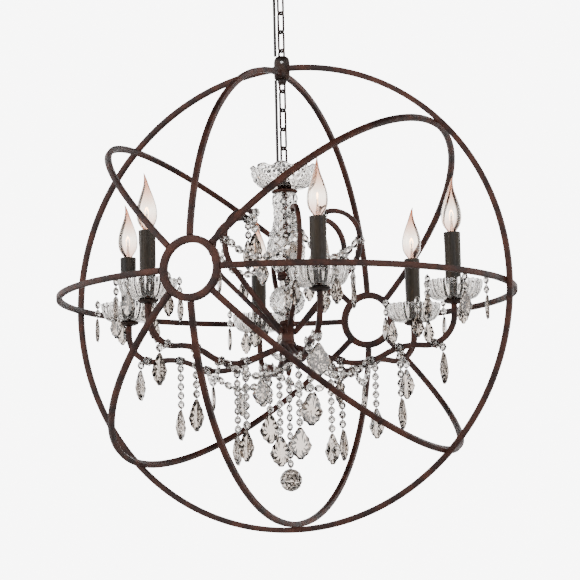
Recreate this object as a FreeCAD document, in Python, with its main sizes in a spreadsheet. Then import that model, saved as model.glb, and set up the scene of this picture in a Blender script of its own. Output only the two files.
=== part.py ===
import FreeCAD, Part
import math
import os

import Sketcher

# Orb chandelier: five nested iron hoops hung from a ceiling canopy by a chain, and inside them, on a
# second chain, a six-light candle chandelier with a glass column and cut-crystal dressing.
# Millimetres, +Z up. The origin is the middle of the canopy's seat on the ceiling.

V = FreeCAD.Vector
doc = FreeCAD.newDocument("OrbChandelier")

# ---- driving dimensions ---------------------------------------------------------------------------
SIZES = [
    ("bracket_length", 110, "ceiling bracket, end to end"),
    ("bracket_width", 20, "ceiling bracket, across"),
    ("bracket_thickness", 3, "ceiling bracket, plate"),
    ("screw_spacing", 70, "ceiling screw holes, centre to centre"),
    ("screw_hole", 5, "ceiling screw holes, diameter"),
    ("nipple_radius", 5, "threaded tube through bracket and canopy"),
    ("nipple_bore", 3.4, "wire way in the threaded tube, radius"),
    ("nipple_length", 30, "threaded tube, below the bracket's upper face"),
    ("canopy_radius", 65, "canopy rim"),
    ("canopy_height", 26, "canopy, ceiling to its lower face"),
    ("canopy_wall", 1.6, "canopy, spun sheet"),
    ("canopy_nut_radius", 12, "ring nut that clamps the canopy"),
    ("canopy_nut_height", 5, "ring nut, height"),
    ("loop_base_radius", 14, "base of the ceiling hang loop"),
    ("loop_base_height", 7, "base of the ceiling hang loop, height"),
    ("wire", 4, "chain wire, across its flats"),
    ("link_width", 16.6, "chain link, outside width"),
    ("link_pitch", 33.7, "chain, bearing point to bearing point"),
    ("link_play", 0.3, "gap between the bearing flats of two links"),
    ("chain_turn", 67.9, "bearing of the first link's plane from +X, degrees"),
    ("eye_depth", 8, "hang loop, base to the bearing point"),
    ("orb_radius", 400, "outermost hoop, centre line"),
    ("hoop_bar", 9.5, "hoop bar, square"),
    ("hoop_gap", 0.3, "between the outermost hoop and the four inside it"),
    ("ring_radius", 52.5, "hub ring, outside"),
    ("ring_width", 12, "hub ring, radial width"),
    ("ring_depth", 10, "hub ring, along its axis"),
    ("seat", 0.3, "gap left where one piece seats on another"),
    ("boss_radius", 14, "cage boss, across its widest facets"),
    ("boss_above", 22, "cage boss above the outermost hoop's centre line"),
    ("boss_below", 20, "cage boss below the outermost hoop's centre line"),
    ("upper_eye", 32, "cage's upper eye above the outermost hoop's centre line"),
    ("lower_eye", 40, "cage's lower eye below the outermost hoop's centre line"),
    ("socket_radius", 7.8, "socket under the cage boss"),
    ("socket_depth", 8, "socket under the cage boss, its length"),
    ("eye_root", 1, "how far an eye's legs run into the piece that carries it"),
    ("column_eye", 36.5, "column's eye above the floor of the crown bowl"),
    ("nut_radius", 12, "cap nut on the centre rod, across its flats"),
    ("nut_height", 12, "cap nut on the centre rod"),
    ("crown_radius", 57.5, "crown bowl rim"),
    ("crown_height", 42, "crown bowl"),
    ("glass_wall", 3.2, "wall of the glass cups"),
    ("plate_radius", 22.5, "brass plate under the crown bowl"),
    ("plate_height", 6, "plate, height"),
    ("vase_radius", 32.5, "vase, at its belly"),
    ("vase_neck", 19.5, "vase, at its neck"),
    ("vase_height", 138, "vase"),
    ("collar_radius", 16.5, "collar under the vase"),
    ("collar_height", 15, "collar, height"),
    ("ball_radius", 30, "glass ball of the column"),
    ("ball_height", 69, "glass ball with its two necks"),
    ("disc_radius", 14.5, "disc under the glass ball"),
    ("disc_height", 9, "disc, height"),
    ("rod_radius", 4.5, "centre rod"),
    ("bore_play", 0.3, "gap round the centre rod"),
    ("hub_radius", 14, "arm hub, across its flats"),
    ("hub_neck", 11, "neck of the arm hub, across its flats"),
    ("hub_height", 50, "arm hub with its neck"),
    ("arm_level", 13, "arm hub, its foot to the centre line of the arms"),
    ("arm_first", 33, "bearing of the first arm from -Y towards +X, degrees"),
    ("arm_bar", 9, "arm bar, square"),
    ("arm_reach", 297, "candle's distance from the column"),
    ("arm_rise", 56, "arm's end above the centre line at the hub"),
    ("arm_sag", 100, "arm, radius of its lowest bend"),
    ("arm_crest", 110, "arm, radius of its crest"),
    ("arm_turn", 50, "arm, radius of the bend under the candle"),
    ("scroll_bar", 8, "scroll bar, square"),
    ("scroll_reach", 134, "scroll, column to the middle line of its belly"),
    ("scroll_level", 26, "arm's centre line up to the foot of the scroll"),
    ("scroll_bend", 60, "scroll, radius of its lower bend"),
    ("scroll_belly", 10, "scroll, upright stretch of its belly"),
    ("scroll_curl", 50, "scroll, radius of its curl"),
    ("dish_radius", 30, "small glass dish under the hub"),
    ("dish_height", 12, "small glass dish"),
    ("dish_floor", 10, "thickness of the dish's floor"),
    ("finial_radius", 8, "finial under the dish"),
    ("finial_height", 26, "finial"),
    ("washer_radius", 17, "metal cup under each candle dish"),
    ("washer_height", 6, "metal cup under each candle dish, height"),
    ("bobeche_radius", 49.5, "glass candle dish, at its rim"),
    ("bobeche_height", 33, "glass candle dish"),
    ("holder_radius", 10, "lampholder inside the sleeve"),
    ("sleeve_radius", 13.3, "candle sleeve, outside"),
    ("sleeve_wall", 1.6, "candle sleeve, wall"),
    ("sleeve_length", 112, "candle sleeve, from the dish's floor"),
    ("cap_radius", 6, "screw cap of the bulb"),
    ("cap_length", 22, "screw cap of the bulb, length"),
    ("cap_play", 0.4, "gap round the screw cap"),
    ("bulb_radius", 17, "bulb glass, at its widest"),
    ("bulb_length", 95, "bulb glass, sleeve to the tip"),
    ("tip_bend", 5, "sideways bend of the bulb's tip"),
    ("bead_radius", 6.5, "cut bead of the hanging strands"),
    ("bead_length", 15.5, "cut bead, tip to tip"),
    ("leaf_width", 40, "large pendant crystal, width"),
    ("leaf_height", 56, "large pendant crystal, height"),
    ("leaf_depth", 9, "large pendant crystal, thickness"),
    ("rim_bead", 5, "bead at the rim of a candle dish, radius"),
    ("petal_width", 24, "small pendant crystal, width"),
    ("petal_height", 44, "small pendant crystal, height"),
    ("petal_depth", 7, "small pendant crystal, thickness"),
    ("garland_reach", 150, "garlands' ends along the arms, from the column"),
    ("garland_sag", 30, "garland, dip of its middle below its ends"),
    ("garland_bead", 4.5, "garland bead, radius"),
    ("garland_step", 18.5, "garland, bead to bead"),
    ("scroll_sag", 35, "garland between the scrolls, dip of its middle"),
    ("inner_drop", 95, "long strands' distance from the column"),
    ("inner_strand", 111, "long strand's beads, top to pendant"),
    ("middle_drop", 200, "middle strands' distance from the column"),
    ("middle_strand", 80, "middle strand's beads, top to pendant"),
    ("scroll_strand", 32, "scroll strand's beads, top to pendant"),
    ("outer_drop", 22, "outer strands' distance inside the candle"),
    ("outer_strand", 16, "outer strand's beads, top to pendant"),
    ("end_ball", 19.5, "ball at the end of the bottom strand, radius"),
    ("ball_room", 45, "least room between that ball and the hoops under it"),
    ("cable", 5, "supply cable, diameter"),
    ("cable_offset", 11, "supply cable beside the chain, centre to centre"),
    ("cable_sway", 1.6, "supply cable, sideways wave"),
]
UPPER_LINKS = 3
LOWER_LINKS = 4
ARMS = 6
HOOP_SIDES = 64
RING_SIDES = 32
END_FLAT = 66
DISH_SIDES = 10
BEND_STEP = 15
ROUND_SIDES = 16
CUP_SIDES = 16
RIM_DROPS = 5
RIM_BEADS = 2
CABLE_SIDES = 6

sheet = doc.addObject("Spreadsheet::Sheet", "Sizes")
for row, (alias, number, note) in enumerate(SIZES, 1):
    sheet.set(f"A{row}", note)
    sheet.set(f"B{row}", str(number))
    sheet.setAlias(f"B{row}", alias)
doc.recompute()


def value(expression):
    """The number that an expression over the sheet's aliases has now."""
    return float(sheet.evalExpression(expression))


def size(alias):
    return float(getattr(sheet, alias))


# ---- levels, as expressions over the sheet, from the ceiling down ----------------------------------
CANOPY_FOOT = "-Sizes.canopy_height"
NUT_FOOT = f"{CANOPY_FOOT} - Sizes.canopy_nut_height"
LOOP_FOOT = f"{NUT_FOOT} - Sizes.loop_base_height"
CEILING_EYE = f"{LOOP_FOOT} - Sizes.eye_depth"
CAGE_TOP_EYE = f"{CEILING_EYE} - {UPPER_LINKS} * Sizes.link_pitch"
HOOP_TOP = f"{CAGE_TOP_EYE} - Sizes.upper_eye"
ORB = f"{HOOP_TOP} - Sizes.orb_radius"
CAGE_LOW_EYE = f"{HOOP_TOP} - Sizes.lower_eye"
COLUMN_EYE = f"{CAGE_LOW_EYE} - {LOWER_LINKS} * Sizes.link_pitch"
BOWL_FLOOR = f"{COLUMN_EYE} - Sizes.column_eye"
ROD_TOP = f"{BOWL_FLOOR} + Sizes.nut_height / 2"
PLATE_TOP = f"{BOWL_FLOOR} - Sizes.glass_wall"
VASE_TOP = f"{PLATE_TOP} - Sizes.plate_height"
COLLAR_TOP = f"{VASE_TOP} - Sizes.vase_height"
BALL_TOP = f"{COLLAR_TOP} - Sizes.collar_height"
DISC_TOP = f"{BALL_TOP} - Sizes.ball_height"
HUB_TOP = f"{DISC_TOP} - Sizes.disc_height"
HUB_FOOT = f"{HUB_TOP} - Sizes.hub_height"
ARM_LEVEL = f"{HUB_FOOT} + Sizes.arm_level"
DISH_FOOT = f"{HUB_FOOT} - Sizes.dish_floor"
FINIAL_FOOT = f"{DISH_FOOT} - Sizes.finial_height"
ARM_END = f"{ARM_LEVEL} + Sizes.arm_rise"
BOBECHE_FOOT = f"{ARM_END} + Sizes.washer_height"
SLEEVE_FOOT = f"{BOBECHE_FOOT} + Sizes.glass_wall"
SLEEVE_TOP = f"{SLEEVE_FOOT} + Sizes.sleeve_length"


# ---- helpers -----------------------------------------------------------------------------------------
nodes = []


def node(obj, name):
    """Marks a document object as a finished sub-part and gives it the node's name."""
    obj.Label = name
    nodes.append(obj)
    return obj


def bind(obj, **expressions):
    """Binds properties to expressions; a double underscore in a name stands for a dot."""
    for prop, expression in expressions.items():
        obj.setExpression(prop.replace("__", "."), expression)
    return obj


def arm_bearing(index):
    """Angle of arm `index` from +X, in degrees."""
    return size("arm_first") - 90 + 360 / ARMS * index


def polar(radius, bearing, height=0.0):
    angle = math.radians(bearing)
    return V(radius * math.cos(angle), radius * math.sin(angle), height)


def faceted(name, profile, sides=ROUND_SIDES, turn=0.0):
    """A turning cut in flats: regular polygons given as (distance of the flats, height), skinned flat."""
    loops = []
    for radius, height in profile:
        corner = value(radius) / math.cos(math.pi / sides)
        level = value(height)
        loops.append([polar(corner, turn + 360 / sides * i, level) for i in range(sides)])
    faces = [flat_face(loops[0]), flat_face(loops[-1])]
    for low, high in zip(loops, loops[1:]):
        for i in range(sides):
            j = (i + 1) % sides
            faces.append(flat_face([low[i], low[j], high[j], high[i]]))
    turning = doc.addObject("Part::Feature", name + "_facets")
    turning.Shape = solid_of(faces)
    return turning


def flat_face(points):
    return Part.Face(Part.makePolygon(points + [points[0]]))


def solid_of(faces):
    solid = Part.makeSolid(Part.makeShell(faces))
    return solid if solid.Volume > 0 else solid.reversed()


def prism(name, radius, low, high, sides=12):
    """An upright hole or bar with flats at `radius` from the Z axis."""
    shape = doc.addObject("Part::Prism", name + "_prism")
    bind(
        shape,
        Polygon=str(sides),
        Circumradius=f"({radius}) / cos(180deg / {sides})",
        Height=f"({high}) - ({low})",
        Placement__Base__z=low,
    )
    return shape


def cylinder(name, radius, low, high):
    rod = doc.addObject("Part::Cylinder", name + "_round")
    bind(rod, Radius=radius, Height=f"({high}) - ({low})", Placement__Base__z=low)
    return rod


def cut(base, tool, name):
    result = doc.addObject("Part::Cut", name + "_cut")
    result.Base = base
    result.Tool = tool
    return result


def group(name, shapes):
    """One node of several separate solids."""
    feature = doc.addObject("Part::Feature", name + "_group")
    feature.Shape = Part.makeCompound(shapes)
    return node(feature, name)


def round_the_column(shape, index):
    """A copy of a shape drawn in the +X half plane, turned to the bearing of arm `index`."""
    copy = shape.copy()
    copy.rotate(V(), V(0, 0, 1), arm_bearing(index))
    return copy


def at_candle(shape, index):
    """A copy of a shape drawn round the Z axis, carried out to candle `index`."""
    copy = shape.copy()
    copy.rotate(V(), V(0, 0, 1), arm_bearing(index))
    copy.translate(polar(size("arm_reach"), arm_bearing(index)))
    return copy


def arc_chain(start, heading, steps, shift=0.0):
    """Edges of tangent runs in the XZ plane, `shift` to the left of the line that `steps` describe.

    Bends are made of short flats of BEND_STEP degrees or less.
    A step is (radius, turn in degrees) for a bend and (None, length) for a straight run.
    """
    angle = math.radians(heading)
    x = start[0] - shift * math.sin(angle)
    z = start[1] + shift * math.cos(angle)
    edges = []
    for radius, amount in steps:
        if radius is None:
            end = (x + amount * math.cos(angle), z + amount * math.sin(angle))
            edges.append(Part.makeLine(V(x, 0, z), V(end[0], 0, end[1])))
        else:
            way = 1 if amount > 0 else -1
            bend = way * radius - shift
            centre = (x - bend * math.sin(angle), z + bend * math.cos(angle))
            flats = math.ceil(abs(amount) / BEND_STEP)
            last = (x, z)
            for flat in range(1, flats + 1):
                a = angle + math.radians(amount) * flat / flats
                end = (centre[0] + bend * math.sin(a), centre[1] - bend * math.cos(a))
                edges.append(Part.makeLine(V(last[0], 0, last[1]), V(end[0], 0, end[1])))
                last = end
            angle += math.radians(amount)
        x, z = end
    return edges, (x, z)


def bent_bar(start, heading, steps, side):
    """A square bar bent in the XZ plane: its side view between two parallel curves, pushed across Y."""
    half = side / 2
    left, left_end = arc_chain(start, heading, steps, half)
    right, right_end = arc_chain(start, heading, steps, -half)
    first = left[0].Vertexes[0].Point, right[0].Vertexes[0].Point
    rim = left + [Part.makeLine(V(left_end[0], 0, left_end[1]), V(right_end[0], 0, right_end[1]))]
    rim += right + [Part.makeLine(first[1], first[0])]
    side_view = Part.Face(Part.Wire(Part.__sortEdges__(rim)))
    side_view.translate(V(0, -half, 0))
    return side_view.extrude(V(0, side, 0))


# ---- ceiling bracket, canopy and hang loop ---------------------------------------------------------
def plane(body, role):
    return next(o for o in body.Origin.OriginFeatures if o.Role == role)


def constrain(sketch, constraint, expression):
    index = sketch.addConstraint(constraint)
    sketch.setExpression(f"Constraints[{index}]", expression)


def rectangle(sketch, low, high):
    """A rectangle from corner `low` to corner `high`, each a pair of expressions, all above zero or not."""
    x0, y0, x1, y1 = (value(e) for e in (*low, *high))
    corners = [V(x0, y0, 0), V(x1, y0, 0), V(x1, y1, 0), V(x0, y1, 0)]
    first = sketch.GeometryCount
    for i in range(4):
        sketch.addGeometry(Part.LineSegment(corners[i], corners[(i + 1) % 4]), False)
    for i in range(4):
        sketch.addConstraint(Sketcher.Constraint("Coincident", first + i, 2, first + (i + 1) % 4, 1))
    sketch.addConstraint(Sketcher.Constraint("Horizontal", first))
    sketch.addConstraint(Sketcher.Constraint("Horizontal", first + 2))
    sketch.addConstraint(Sketcher.Constraint("Vertical", first + 1))
    sketch.addConstraint(Sketcher.Constraint("Vertical", first + 3))
    for axis, point, expression in (
        ("DistanceX", 1, low[0]),
        ("DistanceY", 1, low[1]),
    ):
        constrain(sketch, Sketcher.Constraint(axis, -1, 1, first, point, value(expression)), expression)
    for axis, expression in (("DistanceX", high[0]), ("DistanceY", high[1])):
        constrain(sketch, Sketcher.Constraint(axis, -1, 1, first + 1, 2, value(expression)), expression)


def make_bracket():
    """A flat bar against the ceiling with two screw holes and a tapped hole for the threaded tube."""
    body = doc.addObject("PartDesign::Body", "Bracket")
    outline = body.newObject("Sketcher::SketchObject", "BracketOutline")
    outline.AttachmentSupport = [(plane(body, "XY_Plane"), "")]
    outline.MapMode = "FlatFace"
    rectangle(
        outline,
        ("-Sizes.bracket_length / 2", "-Sizes.bracket_width / 2"),
        ("Sizes.bracket_length / 2", "Sizes.bracket_width / 2"),
    )
    for place, radius in (
        ("-Sizes.screw_spacing / 2", "Sizes.screw_hole / 2"),
        ("Sizes.screw_spacing / 2", "Sizes.screw_hole / 2"),
        ("0", "Sizes.nipple_radius + 0.05"),
    ):
        hole = outline.addGeometry(Part.Circle(V(value(place), 0, 0), V(0, 0, 1), value(radius)), False)
        outline.addConstraint(Sketcher.Constraint("PointOnObject", hole, 3, -1))
        constrain(outline, Sketcher.Constraint("DistanceX", -1, 1, hole, 3, value(place)), place)
        constrain(outline, Sketcher.Constraint("Radius", hole, value(radius)), radius)
    pad = body.newObject("PartDesign::Pad", "BracketPlate")
    pad.Profile = outline
    pad.Reversed = True
    bind(pad, Length="Sizes.bracket_thickness")
    return node(body, "ceiling_bracket")


def make_canopy():
    """The spun cup that hides the bracket, with the threaded tube, ring nut and hang loop."""
    outer = faceted(
        "canopy",
        [
            ("Sizes.canopy_radius * 0.42", CANOPY_FOOT),
            ("Sizes.canopy_radius * 0.80", f"{CANOPY_FOOT} * 0.72"),
            ("Sizes.canopy_radius", f"{CANOPY_FOOT} * 0.22"),
            ("Sizes.canopy_radius", "0"),
        ],
        sides=ROUND_SIDES,
    )
    inner = faceted(
        "canopy_inside",
        [
            ("Sizes.canopy_radius * 0.42 - Sizes.canopy_wall", f"{CANOPY_FOOT} + Sizes.canopy_wall"),
            ("Sizes.canopy_radius * 0.80 - Sizes.canopy_wall", f"{CANOPY_FOOT} * 0.72 + Sizes.canopy_wall"),
            ("Sizes.canopy_radius - Sizes.canopy_wall", f"{CANOPY_FOOT} * 0.22 + Sizes.canopy_wall"),
            ("Sizes.canopy_radius - Sizes.canopy_wall", "1"),
        ],
        sides=ROUND_SIDES,
    )
    shell = cut(outer, inner, "canopy_shell")
    hole = prism("canopy_hole", "Sizes.nipple_radius + Sizes.bore_play", f"{CANOPY_FOOT} - 1", "1")
    node(cut(shell, hole, "canopy_bored"), "canopy")

    tube_foot = "-Sizes.nipple_length"
    tube = prism("nipple", "Sizes.nipple_radius * cos(15deg)", tube_foot, "-Sizes.seat")
    bore = prism("nipple_bore", "Sizes.nipple_bore", f"{tube_foot} - 1", "1")
    node(cut(tube, bore, "nipple"), "threaded_tube")

    ring = faceted(
        "canopy_nut",
        [
            ("Sizes.canopy_nut_radius - 2", NUT_FOOT),
            ("Sizes.canopy_nut_radius", f"{NUT_FOOT} + 1.5"),
            ("Sizes.canopy_nut_radius", CANOPY_FOOT),
        ],
    )
    thread = prism("canopy_nut_bore", "Sizes.nipple_radius + 0.05", f"{NUT_FOOT} - 1", "1")
    node(cut(ring, thread, "canopy_nut"), "canopy_nut")


def eye(top, length, upward):
    """A wire eye in the XZ plane: its legs leave height `top`, its bearing flat is `length` away."""
    radius = (size("link_width") - size("wire")) / 2
    reach = length + (size("wire") + size("link_play")) / 2
    way = 1 if upward else -1
    points = [V(-radius, 0, top)]
    for x, z in end_bend(radius):
        points.append(V(-x, 0, top + way * (reach - radius + z)))
    points.append(V(radius, 0, top))
    return flat_wire(points, closed=False)


def end_bend(radius):
    """Corners of a link's half-round end, from +X over the top to -X, with a straight flat at the top."""
    slope = math.radians(END_FLAT)
    share = radius / math.sin(slope)
    corners = [(radius, 0.0)]
    corners.append((radius * math.cos(slope), share * math.sin(slope)))
    corners.append((-radius * math.cos(slope), share * math.sin(slope)))
    corners.append((-radius, 0.0))
    return corners


def flat_wire(points, closed):
    """Six-sided wire along a bent line in the XZ plane, mitred at each bend, a flat facing inward."""
    half = size("wire") / 2
    corner = half / math.cos(math.pi / 6)
    path = Part.makePolygon(points + [points[0]] if closed else points)
    along = (points[1] - points[0]).normalize()
    across = V(0, 1, 0)
    side = along.cross(across)
    section = []
    for i in range(7):
        angle = math.pi / 3 * i + math.pi / 6
        section.append(points[0] + side * (corner * math.cos(angle)) + across * (corner * math.sin(angle)))
    return path.makePipeShell([Part.makePolygon(section)], True, False, 1)


def turned_to(shape, bearing):
    copy = shape.copy()
    copy.rotate(V(), V(0, 0, 1), bearing)
    return copy


def make_ceiling_loop():
    """Hang loop: a cast base screwed on the threaded tube, with the eye that carries the chain."""
    foot = value(LOOP_FOOT)
    base = faceted(
        "loop_base",
        [
            ("Sizes.loop_base_radius - 2", LOOP_FOOT),
            ("Sizes.loop_base_radius", f"{LOOP_FOOT} + 2"),
            ("Sizes.loop_base_radius", NUT_FOOT),
        ],
    )
    doc.recompute()
    hook = turned_to(eye(foot, size("eye_depth"), upward=False), size("chain_turn") + 90)
    loop = doc.addObject("Part::Feature", "CeilingLoop")
    loop.Shape = base.Shape.fuse(hook).removeSplitter()
    node(loop, "ceiling_loop")


# ---- chain ------------------------------------------------------------------------------------------
def make_link(name, bearing_height, quarter):
    """One oval link hanging with its upper bearing flat just above `bearing_height`."""
    radius = (size("link_width") - size("wire")) / 2
    over = (size("wire") + size("link_play")) / 2
    top = bearing_height + over - radius
    foot = bearing_height - size("link_pitch") - over + radius
    points = [V(x, 0, top + z) for x, z in end_bend(radius)]
    points += [V(-x, 0, foot - z) for x, z in end_bend(radius)]
    # The section starts in the middle of a straight side, so that the seam lies across a flat.
    points = [V(radius, 0, (top + foot) / 2)] + points
    link = doc.addObject("Part::Feature", name)
    link.Shape = turned_to(flat_wire(points, closed=True), size("chain_turn") + 90 * quarter)
    node(link, name)


# ---- cage -------------------------------------------------------------------------------------------
INNER_RADIUS = "Sizes.orb_radius - Sizes.hoop_bar - Sizes.hoop_gap"
RING_PLACE = f"sqrt(({INNER_RADIUS}) ^ 2 - Sizes.ring_radius ^ 2)"


def hoop(name, radius):
    """A square bar bent round the Z axis in short flats, one of them at each crossing of two hoops."""
    half_flat = 180 / HOOP_SIDES
    rings = []
    for part, way, height in (("outside", "+", "Sizes.hoop_bar"), ("inside", "-", "3 * Sizes.hoop_bar")):
        ring = doc.addObject("Part::Prism", f"{name}_{part}")
        bind(
            ring,
            Polygon=str(HOOP_SIDES),
            Circumradius=f"({radius} {way} Sizes.hoop_bar / 2) / cos({half_flat}deg)",
            Height=height,
        )
        ring.Placement = FreeCAD.Placement(V(), FreeCAD.Rotation(V(0, 0, 1), half_flat))
        bind(ring, Placement__Base__z=f"-({height}) / 2")
        rings.append(ring)
    return cut(rings[0], rings[1], name)


def make_cage():
    outer = hoop("hoop_outer", "Sizes.orb_radius")
    outer.Placement = FreeCAD.Placement(V(), FreeCAD.Rotation(V(1, 0, 0), 90))
    bind(outer, Placement__Base__z=ORB)
    node(outer, "hoop_outer")
    # The inner hoops cross at the front and back hub rings; each is a ring stood on edge about Y.
    for name, lean in (
        ("hoop_upright", 90),
        ("hoop_rising", 135),
        ("hoop_level", 0),
        ("hoop_falling", 45),
    ):
        opening = doc.addObject("Part::Cylinder", name + "_opening")
        bind(opening, Radius="Sizes.ring_radius + Sizes.seat", Height="2 * Sizes.orb_radius")
        opening.Placement = FreeCAD.Placement(V(), FreeCAD.Rotation(V(1, 0, 0), 90))
        bind(opening, Placement__Base__y="Sizes.orb_radius")
        halves = cut(hoop(name, INNER_RADIUS), opening, name + "_halves")
        halves.Placement = FreeCAD.Placement(V(), FreeCAD.Rotation(V(0, 1, 0), lean))
        bind(halves, Placement__Base__z=ORB)
        node(halves, name)
    rings = []
    for name, way in (("front", -1), ("back", 1)):
        outside = doc.addObject("Part::Prism", f"hub_ring_{name}_outside")
        inside = doc.addObject("Part::Prism", f"hub_ring_{name}_inside")
        for part, radius in ((outside, "Sizes.ring_radius"), (inside, "Sizes.ring_radius - Sizes.ring_width")):
            bind(part, Polygon=str(RING_SIDES), Circumradius=radius, Height="Sizes.ring_depth")
        ring = cut(outside, inside, f"hub_ring_{name}")
        ring.Placement = FreeCAD.Placement(V(), FreeCAD.Rotation(V(1, 0, 0), 90))
        bind(ring, Placement__Base__y=f"{way} * {RING_PLACE} + Sizes.ring_depth / 2", Placement__Base__z=ORB)
        rings.append(ring)
    pair = doc.addObject("Part::Compound", "HubRings")
    pair.Links = rings
    node(pair, "hub_rings")


def make_cage_boss():
    """The cast boss that clamps the outermost and the upright hoop where they cross, with two eyes."""
    top = f"{HOOP_TOP} + Sizes.boss_above"
    foot = f"{HOOP_TOP} - Sizes.boss_below"
    casting = faceted(
        "boss",
        [
            ("Sizes.socket_radius * 0.8", f"{foot} - Sizes.socket_depth"),
            ("Sizes.socket_radius", f"{foot} - Sizes.socket_depth * 0.75"),
            ("Sizes.socket_radius", f"{foot}"),
            ("Sizes.boss_radius * 0.8", f"{foot} + Sizes.boss_below * 0.05"),
            ("Sizes.boss_radius", f"{foot} + Sizes.boss_below * 0.20"),
            ("Sizes.boss_radius", f"{top} - Sizes.boss_above * 0.4"),
            ("Sizes.boss_radius * 0.93", top),
        ],
        sides=12,
    )
    doc.recompute()
    shape = casting.Shape
    chain = size("chain_turn")
    root = size("eye_root")
    upper = eye(value(top) - root, size("upper_eye") - size("boss_above") + root, upward=True)
    below = size("socket_depth") - root
    lower = eye(value(foot) - below, size("lower_eye") - size("boss_below") - below, upward=False)
    shape = shape.fuse([turned_to(upper, chain + 90 * UPPER_LINKS), turned_to(lower, chain)])
    gap = size("seat")
    wide = size("hoop_bar") + 2 * gap
    long = 4 * size("boss_radius")
    outer_slot = Part.makeBox(long, wide, wide, V(-long / 2, -wide / 2, value(HOOP_TOP) - wide / 2))
    inner_level = value(f"{ORB} + {INNER_RADIUS}")
    inner_slot = Part.makeBox(wide, long, wide, V(-wide / 2, -long / 2, inner_level - wide / 2))
    shape = shape.cut([outer_slot, inner_slot]).removeSplitter()
    boss = doc.addObject("Part::Feature", "CageBoss")
    boss.Shape = shape
    node(boss, "cage_boss")


# ---- column -----------------------------------------------------------------------------------------
def bored(name, solid, bore="Sizes.rod_radius + Sizes.bore_play"):
    hole = prism(name + "_bore", bore, f"{FINIAL_FOOT} - 10", COLUMN_EYE)
    return node(cut(solid, hole, name), name)


def cup(name, outline, inside, sides):
    return cut(faceted(name, outline, sides), faceted(name + "_inside", inside, sides), name + "_cup")


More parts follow.
